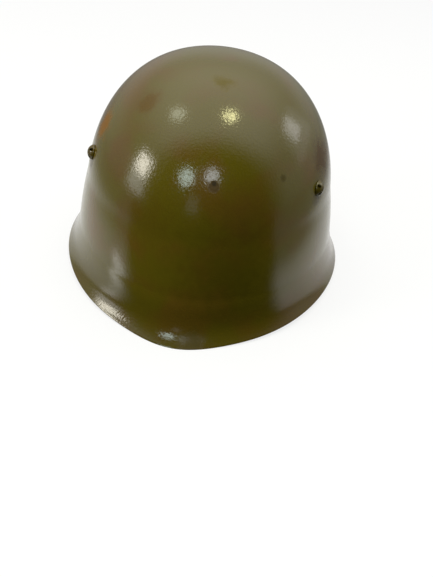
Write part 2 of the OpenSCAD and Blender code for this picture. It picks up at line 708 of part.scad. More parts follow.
module right_strap() {
  color(strap_leather)
  at_right_ring()
  difference() {
    union() {
      strap_sweep(right_path,
                  [for (i = [0:right_n - 1]) i < 4 ? 2 * strap_t : strap_t],
                  [for (i = [0:right_n - 1]) strap_w * tip_share(i)], 1);
      translate([0, 0, bar_z]) strap_loop();
    }
    strap_hole(ring_rivet_h, 0, 1);
    for (i = [0:punch_n - 1])
      let (x = punch_first - punch_pitch * i, tilt = atan((back_z(x + 0.5) - back_z(x - 0.5))))
      translate([double_reach - x, strap_off, back_z(x)]) rotate([0, tilt, 0])
      translate([0, 0, -strap_t / 2]) cylinder(d = punch_d, h = strap_t + 0.6, center = true, $fn = 24);
  }
}
module right_strap_rivet() color(rivet_steel) at_right_ring() strap_rivet_at(ring_rivet_h, 0, 1);

shell();
left_vent_rivet();
right_vent_rivet();
rear_vent_rivet();
left_vent_spacer();
right_vent_spacer();
rear_vent_spacer();
vent_washers();
left_band_arm();
right_band_arm();
rear_band_arm();
liner_band();
band_rivets();
felt_strip();
leather_liner();
split_rivets();
left_hanger();
right_hanger();
hanger_rivets();
left_ring();
right_ring();
left_strap();
left_strap_rivets();
strap_keeper();
buckle_frame();
buckle_roller();
buckle_prong();
right_strap();
right_strap_rivet();
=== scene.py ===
"""Steel combat helmet: painted shell, vent rivets, leather liner and a buckled chin strap in two halves.

The brow faces -Y, +X is the wearer's left and +Z is up. Lengths are metres; angles round the helmet are
degrees from the brow, positive towards the wearer's left.
"""

import logging
import math
from collections.abc import Sequence
from dataclasses import dataclass, fields
from enum import Enum
from typing import Any, Union

import bmesh
import bpy
import numpy as np
from mathutils import Matrix, Vector


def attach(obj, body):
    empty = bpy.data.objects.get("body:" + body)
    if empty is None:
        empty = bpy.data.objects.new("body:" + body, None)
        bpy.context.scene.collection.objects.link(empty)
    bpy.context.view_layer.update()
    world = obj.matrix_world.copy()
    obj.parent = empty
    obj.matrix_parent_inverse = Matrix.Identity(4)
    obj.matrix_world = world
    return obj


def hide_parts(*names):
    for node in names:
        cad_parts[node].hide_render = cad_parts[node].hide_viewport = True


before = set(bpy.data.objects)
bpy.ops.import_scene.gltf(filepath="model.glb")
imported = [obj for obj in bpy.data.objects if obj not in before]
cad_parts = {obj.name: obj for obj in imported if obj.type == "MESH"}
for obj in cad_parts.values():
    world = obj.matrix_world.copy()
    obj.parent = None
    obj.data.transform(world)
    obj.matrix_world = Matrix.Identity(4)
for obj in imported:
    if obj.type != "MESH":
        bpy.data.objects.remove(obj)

log = logging.getLogger("helmet")
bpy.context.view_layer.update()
MM = 0.001
PHOTO_SIZE = (433, 577)
SENSOR_MM = 36.0
WHITE = (1.0, 1.0, 1.0, 1.0)
WELD = 0.01 * MM
DRILL_REACH = 6 * MM
STRIP_CORNER = 0.3 * MM
# A rounded tip's width at the last points of its line, as a share of the full width.
TIP_SHARES = (0.92, 0.75, 0.4)
# Math nodes by the names of the numpy functions that stand for them.
MATH_NODES = {
    "add": "ADD",
    "subtract": "SUBTRACT",
    "multiply": "MULTIPLY",
    "divide": "DIVIDE",
    "power": "POWER",
    "sqrt": "SQRT",
    "sin": "SINE",
    "cos": "COSINE",
    "exp": "EXPONENT",
    "absolute": "ABSOLUTE",
    "maximum": "MAXIMUM",
    "minimum": "MINIMUM",
    "heaviside": "GREATER_THAN",
}
Obj = bpy.types.Object
Material = bpy.types.Material
Node = bpy.types.Node
Socket = bpy.types.NodeSocket
Tree = bpy.types.NodeTree
# A colour as RGBA, or a fade as low, high, start and end.
Four = tuple[float, float, float, float]
Value = Union[float, Sequence[float], Socket, Node, bpy.types.ID, "Field"]
Number = Union[float, np.ndarray, "Field"]


def fill(node: Node, inputs: dict[Any, Value]) -> None:
    """Fills a node's sockets.

    Args:
        node: the node.
        inputs: by the socket's name or number, its value or what it is linked to, a node by its first output.
    """
    for key, value in inputs.items():
        if isinstance(value, Field):
            value = value.socket
        elif isinstance(value, Node):
            value = value.outputs[0]
        if isinstance(value, Socket):
            node.id_data.links.new(value, node.inputs[key])
        else:
            node.inputs[key].default_value = value


def add_node(tree: Tree, kind: str, inputs: dict[Any, Value] | None = None, **settings: Any) -> Node:
    """Adds a node to a tree.

    Args:
        tree: the tree.
        kind: the node's type name.
        inputs: what goes into its sockets.
        settings: the node's own properties.

    Returns:
        The new node.
    """
    made = tree.nodes.new(kind)
    for name, value in settings.items():
        setattr(made, name, value)
    fill(made, inputs or {})
    return made


def linear(hex_colour: str) -> Four:
    """Turns an sRGB hex colour such as "#5c5020" into linear RGBA."""
    parts = [int(hex_colour[i : i + 2], 16) / 255 for i in (1, 3, 5)]
    return (*(c / 12.92 if c <= 0.04045 else ((c + 0.055) / 1.055) ** 2.4 for c in parts), 1.0)


def per_mm(size: float) -> float:
    """Gives the texture scale at which a pattern repeats every size millimetres."""
    return 1.0 / (size * MM)


class Field(np.lib.mixins.NDArrayOperatorsMixin):
    """A number in a node tree. Arithmetic and numpy's functions on it add Math nodes to its tree."""

    def __init__(self, source: Socket | Node) -> None:
        """Wraps a socket, or a node's first output."""
        self.socket = source.outputs[0] if isinstance(source, Node) else source

    def __array_ufunc__(self, function: np.ufunc, method: str, *numbers: Number) -> "Field":
        """Adds the Math node that does what a numpy function does.

        Args:
            function: numpy's function.
            method: how numpy applies it, which is a plain call for every use here.
            numbers: its numbers.

        Returns:
            The node's result.
        """
        tree, kind = self.socket.id_data, MATH_NODES[function.__name__]
        return Field(add_node(tree, "ShaderNodeMath", dict(enumerate(numbers)), operation=kind))


def fade(
    value: Field, low: float, high: float, start: float = 0.0, end: float = 1.0, even: bool = False
) -> Field:
    """Gives a change from start to end as a value goes from low to high.

    Args:
        value: the value.
        low: where the change starts.
        high: where it ends.
        start: the result up to low.
        end: the result from high on.
        even: whether the change is even, and not smooth.

    Returns:
        The result.
    """
    inputs = {"Value": value, "From Min": low, "From Max": high, "To Min": start, "To Max": end}
    kind = "LINEAR" if even else "SMOOTHSTEP"
    return Field(add_node(value.socket.id_data, "ShaderNodeMapRange", inputs, interpolation_type=kind))


def ease(x: np.ndarray | float) -> np.ndarray:
    """Gives 1 at 0 and 0 at 1, level at both."""
    return (1 + np.cos(math.pi * np.clip(x, 0, 1))) / 2


def quarter(x: np.ndarray | float) -> np.ndarray:
    """Gives a quarter circle's rise, from 0 at 0 to 1 and level at 1."""
    return np.sqrt(1 - (1 - np.clip(x, 0, 1)) ** 2)


def smooth(x: np.ndarray | float) -> np.ndarray:
    """Gives a smooth step from 0 at 0 to 1 at 1."""
    share = np.clip(x, 0, 1)
    return share * share * (3 - 2 * share)


@dataclass(frozen=True)
class ShellSizes:
    """The pressed shell's sizes, in metres and radians, and the rule that its surface follows."""

    height: Number = 164.5 * MM
    shoulder_z: Number = 34.5 * MM
    fullness: Number = 2.3
    side_r: Number = 106 * MM
    brow_r: Number = 120 * MM
    nape_r: Number = 113.5 * MM
    skirt_spread: Number = 0.07
    skirt_n: Number = 1.4
    flare_z: Number = 76 * MM
    flare_ear: Number = 12.5 * MM
    flare_brow: Number = 12.5 * MM
    flare_nape: Number = 13.5 * MM
    flare_n: Number = 1.15
    point_out: Number = 5 * MM
    point_angle: Number = math.radians(13)
    point_n: Number = 2.2
    arch_h: Number = 6 * MM
    arch_angle: Number = math.radians(130)
    lip_out: Number = 1.6 * MM
    lip_h: Number = 11 * MM
    hollow: Number = 2.3 * MM
    hollow_h: Number = 30 * MM

    def rim(self, around: Number) -> Number:
        """Gives the height of the rim's edge, which rises over the temples.

        Args:
            around: the angle from the brow, in radians.

        Returns:
            The height.
        """
        away = np.absolute(around)
        wave = np.sin(away * math.pi / self.arch_angle)
        return wave * wave * np.heaviside(self.arch_angle - away, 0.0) * self.arch_h

    def skin(self, around: Number, up: Number) -> tuple[Number, Number, Number]:
        """Gives a point of the outer surface, about the crown's axis.

        Args:
            around: the angle from the brow, in radians.
            up: -1 at the rim, 0 at the shoulder and 1 at the crown.

        Returns:
            Its x, y and z.
        """
        rim = self.rim(around)
        dome = np.maximum(up, 0.0) * (math.pi / 2)
        rise = np.power(np.maximum(np.sin(dome), 0.0), 2 / self.fullness)
        skirt = (self.shoulder_z - rim) * np.minimum(up, 0.0)
        z = self.shoulder_z + skirt + (self.height - self.shoulder_z) * rise
        below = np.maximum(self.shoulder_z - z, 0.0) / self.shoulder_z
        closing = np.power(np.maximum(np.cos(dome), 0.0), 2 / self.fullness)
        closing = (np.power(below, self.skirt_n) * self.skirt_spread + 1.0) * closing
        side, front = np.sin(around), np.cos(around)
        is_front = np.heaviside(front, 0.0)
        reach = is_front * (self.brow_r - self.nape_r) + self.nape_r
        plan = np.power(np.power(side / self.side_r, 2.0) + np.power(front / reach, 2.0), -0.5)
        flare_end = is_front * (self.flare_brow - self.flare_nape) + self.flare_nape
        flare = side * side * self.flare_ear + front * front * flare_end
        off = around / self.point_angle
        point = np.exp(off * off * -1.0) * self.point_out
        lip = np.maximum(1.0 - (z - rim) / self.lip_h, 0.0)
        k = np.maximum((self.flare_z - z) / (self.flare_z - rim), 0.0)
        low = np.minimum((z - rim) / self.hollow_h, 1.0)
        # low * (1 - low) ** 2 is at most 4 / 27, so the hollow is at its deepest as deep as its size says.
        dip = low * (1.0 - low) * (1.0 - low) * (27 / 4) * is_front * front * front * self.hollow
        r = plan * closing + lip * lip * self.lip_out + flare * np.power(k, self.flare_n)
        r = r + point * np.power(k, self.point_n) - dip
        return r * side, r * front * -1.0, z


class Surface:
    """The shell's outer surface as other pieces use it: places on it and behind it, and its outward way."""

    def __init__(self, sizes: ShellSizes) -> None:
        """Puts the crown's axis where the rim reaches as far forward as back."""
        self.sizes = sizes
        self.crown_y = float(-sizes.skin(0.0, -1.0)[1] - sizes.skin(math.pi, -1.0)[1]) / 2

    def up_at(self, z: float | np.ndarray) -> np.ndarray:
        """Gives how far up the dome a height of its surface is, from 0 at the shoulder to 1."""
        share = (np.asarray(z) - self.sizes.shoulder_z) / (self.sizes.height - self.sizes.shoulder_z)
        return np.arcsin(np.power(share, self.sizes.fullness / 2)) * 2 / math.pi

    def outer(self, around: np.ndarray, up: np.ndarray) -> np.ndarray:
        """Gives points of the outer surface.

        Args:
            around: their angles from the brow, in radians.
            up: -1 at the rim, 0 at the shoulder and 1 at the crown.

        Returns:
            The points, in the last axis of an array.
        """
        wrapped = (np.asarray(around) + math.pi) % (2 * math.pi) - math.pi
        x, y, z = self.sizes.skin(wrapped, np.asarray(up))
        return np.stack(np.broadcast_arrays(x, y + self.crown_y, z), -1)

    def out(self, around: np.ndarray, up: np.ndarray) -> np.ndarray:
        """Gives the outward unit vectors of the surface.

        Args:
            around: the places' angles from the brow, in radians.
            up: how far up they are, as for outer.

        Returns:
            The vectors, in the last axis of an array.
        """
        around, up = np.broadcast_arrays(np.asarray(around, float), np.asarray(up, float))
        turn, lift = math.radians(0.5), 0.004
        across = self.outer(around + turn, up) - self.outer(around - turn, up)
        along = self.outer(around, np.minimum(1.0, up + lift)) - self.outer(around, up - lift)
        made = np.cross(across, along)
        return made / np.linalg.norm(made, axis=-1, keepdims=True)

    def inset(self, around: np.ndarray, up: np.ndarray, depth: float | np.ndarray) -> np.ndarray:
        """Gives points that lie a depth behind the outer surface."""
        return self.outer(around, up) - np.asarray(depth)[..., None] * self.out(around, up)


SURFACE = Surface(ShellSizes())
# Angles of the vent rivets and, as SPLITS, of the split rivets, in degrees from the brow.
VENTS = {"left": 60.0, "right": -60.0, "rear": 180.0}
VENT_Z = 95.5 * MM
BAND_Z = 60 * MM
SPLITS = tuple(22.5 + 45.0 * k for k in range(8))


class Side(Enum):
    """The wearer's sides, as the sign of x."""

    LEFT = 1
    RIGHT = -1


def mesh_object(name: str, points: np.ndarray, faces: Sequence[Sequence[int]]) -> Obj:
    """Makes an object at the origin.

    Args:
        name: its name.
        points: its mesh's points.
        faces: the numbers of each face's points.

    Returns:
        The object.
    """
    mesh = bpy.data.meshes.new(name)
    corners = np.asarray(points, float).reshape(-1, 3).tolist()
    mesh.from_pydata(corners, [], [list(map(int, face)) for face in faces])
    mesh.update()
    obj = bpy.data.objects.new(name, mesh)
    bpy.context.scene.collection.objects.link(obj)
    return obj


def quads(number: np.ndarray) -> np.ndarray:
    """Gives the faces between neighbouring points of a grid, along its first and its last axis."""
    corners = number[:-1, ..., :-1], number[:-1, ..., 1:], number[1:, ..., 1:], number[1:, ..., :-1]
    return np.stack(corners, -1).reshape(-1, 4)


def plate(name: str, front: np.ndarray, back: np.ndarray, wrapped: bool) -> Obj:
    """Makes a closed plate between two grids of points of the same size.

    Args:
        name: the object's name.
        front: the outward grid, rows going up and columns going towards the wearer's left.
        back: the inward grid.
        wrapped: whether the last column joins the first.

    Returns:
        The plate's object.
    """
    rows, cols = front.shape[:2]
    size = rows * cols
    number = np.pad(np.arange(size).reshape(rows, cols), ((0, 0), (0, int(wrapped))), "wrap")
    if wrapped:
        loops = [number[0], number[-1][::-1]]
    else:
        loops = [np.concatenate([number[0], number[1:, -1], number[-1, -2::-1], number[-2::-1, 0]])]
    rim = [(q, p, p + size, q + size) for loop in loops for p, q in zip(loop[:-1], loop[1:], strict=True)]
    outward = quads(number)
    points = np.concatenate([front.reshape(-1, 3), back.reshape(-1, 3)])
    return mesh_object(name, points, [*outward, *(outward[:, ::-1] + size), *rim])


def lathe(name: str, profile: Sequence[tuple[float, float]], steps: int = 48) -> Obj:
    """Turns a closed profile about the Z axis.

    Args:
        name: the object's name.
        profile: its points as radius and height, going round so that the faces point outwards.
        steps: how many steps go round.

    Returns:
        The turned solid's object.
    """
    angles = np.arange(steps) * 2 * math.pi / steps
    r, z = np.asarray(profile, float).T[:, :, None]
    points = np.stack(np.broadcast_arrays(r * np.cos(angles), r * np.sin(angles), z), -1)
    number = np.arange(len(profile) * steps).reshape(-1, steps)
    obj = mesh_object(name, points, quads(np.pad(number, (0, 1), "wrap")))
    clean(obj.data)
    return obj


def clean(mesh: bpy.types.Mesh) -> None:
    """Merges a mesh's doubled points, drops faces without area and turns its faces outwards.

    Args:
        mesh: the mesh.
    """
    work = bmesh.new()
    work.from_mesh(mesh)
    bmesh.ops.remove_doubles(work, verts=work.verts, dist=WELD)
    bmesh.ops.dissolve_degenerate(work, edges=work.edges, dist=WELD / 2)
    bmesh.ops.recalc_face_normals(work, faces=work.faces)
    work.to_mesh(mesh)
    work.free()


def bevelled(obj: Obj, width: float, angle: float = 40.0, segments: int = 2) -> None:
    """Rounds an object's sharp edges with a Bevel modifier.

    Args:
        obj: the object.
        width: how far from an edge the rounding starts.
        angle: the angle in degrees past which an edge is sharp.
        segments: how many steps a rounding has.
    """
    made = obj.modifiers.new("rounded_edges", "BEVEL")
    made.width = width
    made.segments = segments
    made.limit_method = "ANGLE"
    made.angle_limit = math.radians(angle)
    made.use_clamp_overlap = True


def cut(obj: Obj, tool: Obj) -> None:
    """Cuts a solid out of an object.

    Args:
        obj: the object.
        tool: the solid, which is removed.
    """
    made = obj.modifiers.new("cut", "BOOLEAN")
    made.operation = "DIFFERENCE"
    made.solver = "EXACT"
    made.object = tool
    settle(obj)
    bpy.data.objects.remove(tool)


def settle(obj: Obj) -> None:
    """Turns what an object's modifiers give into its plain mesh.

    Args:
        obj: the object.
    """
    graph = bpy.context.evaluated_depsgraph_get()
    shown = obj.evaluated_get(graph)
    made = bpy.data.meshes.new_from_object(shown, preserve_all_data_layers=True, depsgraph=graph)
    obj.modifiers.clear()
    obj.data = made


def hand_over(obj: Obj, body: str, node: str, slot: str, smooth_deg: float = 35.0) -> None:
    """Finishes a piece: settles its modifiers, dresses it, parents it to its body and hides its CAD node.

    Args:
        obj: the piece.
        body: the body that it rides on.
        node: the CAD node that it stands for.
        slot: the record's material slot.
        smooth_deg: the angle past which an edge stays sharp.
    """
    if obj.modifiers:
        settle(obj)
    if not any(obj.data.materials):
        obj.data.materials.clear()
        obj.data.materials.append(FINISHES[slot].material())
    obj.data.shade_smooth()
    obj.data.set_sharp_from_angle(angle=math.radians(smooth_deg))
    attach(obj, body)
    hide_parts(node)
    log.info("%s stands for %s on body %s", obj.name, node, body)


def placed(obj: Obj, matrix: Matrix) -> Obj:
    """Moves an object's mesh by a matrix and leaves the object at the origin."""
    obj.data.transform(matrix)
    return obj


@dataclass(frozen=True)
class Mark:
    """A stain, chip or dent in the paint, or a patch of painted shade: a ragged patch of another colour and
    gloss, in millimetres.
    """

    place: tuple[float, float, float]
    radius: float
    colour: str
    amount: float = 1.0
    roughness: float = 0.3
    softness: float = 0.8
    spread: float = 1.1

    def lay(
        self, tree: Tree, place: Socket, wobble: Field, colour: Value, rough: Value
    ) -> tuple[Socket, Field]:
        """Lays the mark over a colour and a roughness.

        Args:
            tree: the material's node tree.
            place: Object coordinates.
            wobble: noise about 0 that makes the outline ragged.
            colour: the colour under the mark.
            rough: the roughness under the mark.

        Returns:
            The colour and the roughness with the mark on them.
        """
        ends = {0: place, 1: tuple(c * MM for c in self.place)}
        far = Field(add_node(tree, "ShaderNodeVectorMath", ends, operation="DISTANCE").outputs["Value"])
        radius = self.radius * MM
        low, high = radius * (1 - self.softness), radius * self.spread
        inside = fade(far + wobble * radius, low, high, self.amount, 0.0)
        tint = {0: inside, 6: colour, 7: linear(self.colour)}
        gloss = {0: inside, 2: rough, 3: self.roughness}
        tint = add_node(tree, "ShaderNodeMix", tint, data_type="RGBA").outputs[2]
        return tint, Field(add_node(tree, "ShaderNodeMix", gloss))


@dataclass(frozen=True)
class Finish:
    """A surface finish, whose look is worked out from Object coordinates."""

    name: str
    colour: str
    stain: str
    roughness: float

    def material(self) -> Material:
        """Gives the finish's material, made once.

        Returns:
            The material.
        """
        made = bpy.data.materials.get(self.name)
        if made is None:
            made = bpy.data.materials.new(self.name)
            made.use_nodes = True
            place = add_node(made.node_tree, "ShaderNodeTexCoord").outputs["Object"]
            fill(made.node_tree.nodes["Principled BSDF"], self.look(made.node_tree, place))
        return made

    def look(self, tree: Tree, place: Socket) -> dict[str, Value]:
        """Makes the nodes that give the finish its look.

        Args:
            tree: the material's node tree.
            place: Object coordinates.

        Returns:
            What goes into the shader's sockets.
        """
        raise NotImplementedError


@dataclass(frozen=True)
class SemiGlossEnamel(Finish):
    """Air-dried olive enamel sprayed on pressed steel: soft gloss, fine orange peel and brown ageing."""

    grime: str = "#352d08"
    ior: float = 1.5
    cloud_mm: float = 38.0
    ragged_mm: float = 6.0
    ripple_mm: float = 11.0
    peel_mm: float = 1.6
    peel_depth: float = 0.09 * MM
    ripple_depth: float = 0.022 * MM
    aged: tuple[float, float] = (0.42, 0.68)
    polish: tuple[float, float] = (0.3, 0.7)
    smoother: float = 0.03
    rougher: float = 0.05
    handled: Four = (6 * MM, 48 * MM, 0.45, 0.0)
    handled_wobble: float = 10 * MM
    dulled: Four = (0.17, 0.36, 0.5, 0.18)
    marks: tuple[Mark, ...] = (
        Mark((-41, -53, 143), 14, "#5c4408", 0.85, 0.31),
        Mark((-78, -42, 118), 15, "#80540a", 0.9, 0.4),
        Mark((-60, -75, 112), 22, "#5b4316", 0.4, 0.18),
        Mark((86, -28, 112), 20, "#4c310a", 0.85, 0.34),
        Mark((8, -38, 158), 12, "#61540a", 0.8, 0.36, 1.0),
        Mark((32, -112, 56), 50, "#4a4109", 0.6, 0.14, 1.0),
        Mark((-30, -104, 84), 26, "#56430f", 0.4, 0.17),
        Mark((38, -96, 96), 24, "#5a4216", 0.4, 0.17),
        Mark((58, -72, 113), 3.2, "#3f3410", 0.55, 0.4),
        # Darker rings round the vent rivets, centred a little below them: painted shade under the heads,
        # together with dirt round them.
        Mark((-89, -48, 93), 10, "#463a12", 0.7, 0.3, 0.5),
        Mark((89, -48, 93), 10, "#463a12", 0.7, 0.3, 0.5),
        Mark((0, 112, 93), 10, "#463a12", 0.7, 0.3, 0.5),
        Mark((14, -96, 111.5), 4.2, "#4c3a1c", 0.75, 0.5, 0.35),
        Mark((14, -95, 113.5), 2.2, "#2e2614", 0.8, 0.6, 0.5),
        Mark((15, -138, 5), 14, "#453c0e", 0.9, 0.45, 1.0),
    )

    def look(self, tree: Tree, place: Socket) -> dict[str, Value]:
        """Makes olive with aged clouds and marks, over orange peel and a faint press ripple.

        Args:
            tree: the material's node tree.
            place: Object coordinates.

        Returns:
            What goes into the shader's sockets.
        """
        sizes = (self.cloud_mm, 3.0), (self.ragged_mm, 4.0), (self.peel_mm, 2.0), (self.ripple_mm, 1.0)
        noises = [{"Vector": place, "Scale": per_mm(size), "Detail": detail} for size, detail in sizes]
        noises = [Field(add_node(tree, "ShaderNodeTexNoise", noise)) for noise in noises]
        clouds, ragged, peel, ripple = noises
        wobble = ragged - 0.5
        height = Field(add_node(tree, "ShaderNodeSeparateXYZ", {0: place}).outputs[2])
        handled = fade(height + wobble * self.handled_wobble, *self.handled)
        colour = linear(self.colour)
        for amount, over in ((fade(clouds, *self.aged), self.stain), (handled, self.grime)):
            inputs = {0: amount, 6: colour, 7: linear(over)}
            colour = add_node(tree, "ShaderNodeMix", inputs, data_type="RGBA").outputs[2]
        rough = fade(peel, *self.polish, self.roughness - self.smoother, self.roughness + self.rougher)
        for mark in self.marks:
            colour, rough = mark.lay(tree, place, wobble, colour, rough)
        bump = {}
        for relief, depth in ((peel, self.peel_depth), (ripple, self.ripple_depth)):
            inputs = {"Height": relief, "Strength": 1.0, "Distance": depth}
            bump = {"Normal": add_node(tree, "ShaderNodeBump", inputs | bump)}
        gloss = {"Roughness": rough, "Specular IOR Level": fade(rough, *self.dulled), "IOR": self.ior}
        return {"Base Color": colour} | gloss | bump


@dataclass(frozen=True)
class RolledSteel(Finish):
    """Cold-rolled strip or drawn wire with a thin phosphate or nickel coat: dull grey, faintly stained."""

    worn_roughness: float = 0.62
    cloud_mm: float = 7.0
    # The coat's real tooth is well under 0.1 mm and wouldn't show, so it is drawn this coarse.
    grain_mm: float = 0.8
    grain_depth: float = 0.03 * MM
    grain_strength: float = 0.6
    stained: tuple[float, float] = (0.45, 0.7)
    worn: tuple[float, float] = (0.3, 0.7)

    def look(self, tree: Tree, place: Socket) -> dict[str, Value]:
        """Makes metal with cloudy stain and fine tooth.

        Args:
            tree: the material's node tree.
            place: Object coordinates.

        Returns:
            What goes into the shader's sockets.
        """
        sizes = (self.cloud_mm, 5.0), (self.grain_mm, 3.0)
        noises = [{"Vector": place, "Scale": per_mm(size), "Detail": detail} for size, detail in sizes]
        clouds, grain = (Field(add_node(tree, "ShaderNodeTexNoise", noise)) for noise in noises)
        inputs = {0: fade(clouds, *self.stained, even=True), 6: linear(self.colour), 7: linear(self.stain)}
        colour = add_node(tree, "ShaderNodeMix", inputs, data_type="RGBA").outputs[2]
        relief = {"Height": grain, "Strength": self.grain_strength, "Distance": self.grain_depth}
        bump = add_node(tree, "ShaderNodeBump", relief)
        rough = fade(clouds, *self.worn, self.roughness, self.worn_roughness, even=True)
        return {"Base Color": colour, "Roughness": rough, "Normal": bump, "Metallic": 1.0}


@dataclass(frozen=True)
class TannedLeather(Finish):
    """Vegetable-tanned cowhide: fine pebbled grain, darker where hands and hair have greased it."""

    greased_roughness: float = 0.4
    grain_mm: float = 1.1
    patch_mm: float = 30.0
    crease_mm: float = 5.0
    grain_depth: float = 0.1 * MM
    crease_depth: float = 0.4 * MM
    relief_strength: float = 0.7
    greased: tuple[float, float] = (0.4, 0.66)
    pores: Four = (0.0, 0.6, 0.82, 1.0)

    def look(self, tree: Tree, place: Socket) -> dict[str, Value]:
        """Makes pebbled grain, creases and greasy patches.

        Args:
            tree: the material's node tree.
            place: Object coordinates.

        Returns:
            What goes into the shader's sockets.
        """
        sizes = (self.patch_mm, 6.0), (self.crease_mm, 4.0)
        noises = [{"Vector": place, "Scale": per_mm(size), "Detail": detail} for size, detail in sizes]
        clouds, creases = (Field(add_node(tree, "ShaderNodeTexNoise", noise)) for noise in noises)
        cells = {"Vector": place, "Scale": per_mm(self.grain_mm)}
        pebbles = Field(add_node(tree, "ShaderNodeTexVoronoi", cells, feature="SMOOTH_F1"))
        inputs = {0: fade(clouds, *self.greased, even=True), 6: linear(self.colour), 7: linear(self.stain)}
        colour = add_node(tree, "ShaderNodeMix", inputs, data_type="RGBA").outputs[2]
        inputs = {0: 1.0, 6: colour, 7: fade(pebbles, *self.pores, even=True)}
        shaded = add_node(tree, "ShaderNodeMix", inputs, data_type="RGBA", blend_type="MULTIPLY").outputs[2]
        bump = {}
        for relief, depth in ((pebbles, self.grain_depth), (creases, self.crease_depth)):
            inputs = {"Height": relief, "Strength": self.relief_strength, "Distance": depth}
            bump = {"Normal": add_node(tree, "ShaderNodeBump", inputs | bump)}
        rough = fade(clouds, *self.greased, self.roughness, self.greased_roughness, even=True)
        return {"Base Color": shaded, "Roughness": rough} | bump


@dataclass(frozen=True)
class WoolFelt(Finish):
    """Pressed grey wool felt: matt, mottled by its fibres, with a soft sheen at its edges."""

    # A wool fibre is some 0.03 mm thick and wouldn't show, so whole tufts are drawn.
    fibre_mm: float = 1.2
    fibre_depth: float = 0.5 * MM
    fibre_strength: float = 0.9
    sheen: float = 0.4

    def look(self, tree: Tree, place: Socket) -> dict[str, Value]:
        """Makes mottled fibres with sheen.

        Args:
            tree: the material's node tree.
            place: Object coordinates.

        Returns:
            What goes into the shader's sockets.
        """
        scale = {"Vector": place, "Scale": per_mm(self.fibre_mm), "Detail": 6.0}
        fibres = add_node(tree, "ShaderNodeTexNoise", scale)
        inputs = {0: fibres, 6: linear(self.stain), 7: linear(self.colour)}
        colour = add_node(tree, "ShaderNodeMix", inputs, data_type="RGBA").outputs[2]
        relief = {"Height": fibres, "Strength": self.fibre_strength, "Distance": self.fibre_depth}
        bump = add_node(tree, "ShaderNodeBump", relief)
        matt = {"Roughness": self.roughness, "Sheen Weight": self.sheen}
        return {"Base Color": colour, "Normal": bump} | matt


FINISHES = {
    "olive_paint": SemiGlossEnamel("semi_gloss_olive_enamel", "#5b510e", "#604a13", 0.14),
    "band_steel": RolledSteel("phosphated_spring_steel", "#8a887f", "#5a5248", 0.45),
    "rivet_steel": RolledSteel("dull_nickel_steel", "#a5a194", "#6d6455", 0.36),
    "liner_leather": TannedLeather("tan_liner_leather", "#93602f", "#5a3517", 0.55),
    "strap_leather": TannedLeather(
        "waxed_strap_leather", "#5f3a20", "#382012", 0.45, grain_mm=0.8, patch_mm=14.0
    ),
    "grey_felt": WoolFelt("grey_wool_felt", "#7c7a6c", "#5d5a4e", 0.95),
}


@dataclass(frozen=True)
class PhotoCamera:
    """The photograph's camera, from a fit of the helmet's outline and its two visible vent rivets."""

    place: tuple[float, float, float] = (42.07 * MM, -353.69 * MM, 257.59 * MM)
    right: tuple[float, float, float] = (0.98373, 0.15307, 0.094)
    down: tuple[float, float, float] = (0.17211, -0.65333, -0.73725)
    ahead: tuple[float, float, float] = (-0.05143, 0.74144, -0.66905)
    focal_px: float = 449.28

    def build(self) -> None:
        """Makes the scene's camera."""
        data = bpy.data.cameras.new("photo_camera")
        data.sensor_width = SENSOR_MM
        data.lens = self.focal_px / max(PHOTO_SIZE) * SENSOR_MM
        data.clip_start, data.clip_end = 0.01, 50.0
        obj = bpy.data.objects.new("photo_camera", data)
        bpy.context.scene.collection.objects.link(obj)
        axes = Matrix((self.right, -Vector(self.down), -Vector(self.ahead))).transposed()
        obj.matrix_world = Matrix.Translation(self.place) @ axes.to_4x4()
        bpy.context.scene.camera = obj


@dataclass(frozen=True)
class Softbox:
    """A rectangular or elliptic lamp that faces the helmet from a direction."""

    name: str
    azimuth: float
    elevation: float
    width: float
    height: float
    radiance: float
    colour: str = "#ffffff"
    round_shape: bool = False
    distance: float = 1.5
    aim_z: float = 0.08

    def build(self) -> None:
        """Makes the lamp. Its power follows from its radiance and its area."""
        data = bpy.data.lights.new(self.name, "AREA")
        data.shape = "ELLIPSE" if self.round_shape else "RECTANGLE"
        data.size, data.size_y = self.width, self.height
        area = self.width * self.height * (math.pi / 4 if self.round_shape else 1)
        data.energy = self.radiance * math.pi * area
        data.color = linear(self.colour)[:3]
        obj = bpy.data.objects.new(self.name, data)
        bpy.context.scene.collection.objects.link(obj)
        a, e = math.radians(self.azimuth), math.radians(self.elevation)
        way = Vector((math.sin(a) * math.cos(e), -math.cos(a) * math.cos(e), math.sin(e)))
        obj.location = Vector((0, 0, self.aim_z)) + way * self.distance
        obj.rotation_euler = way.to_track_quat("Z", "Y").to_euler()
        obj.visible_camera = False


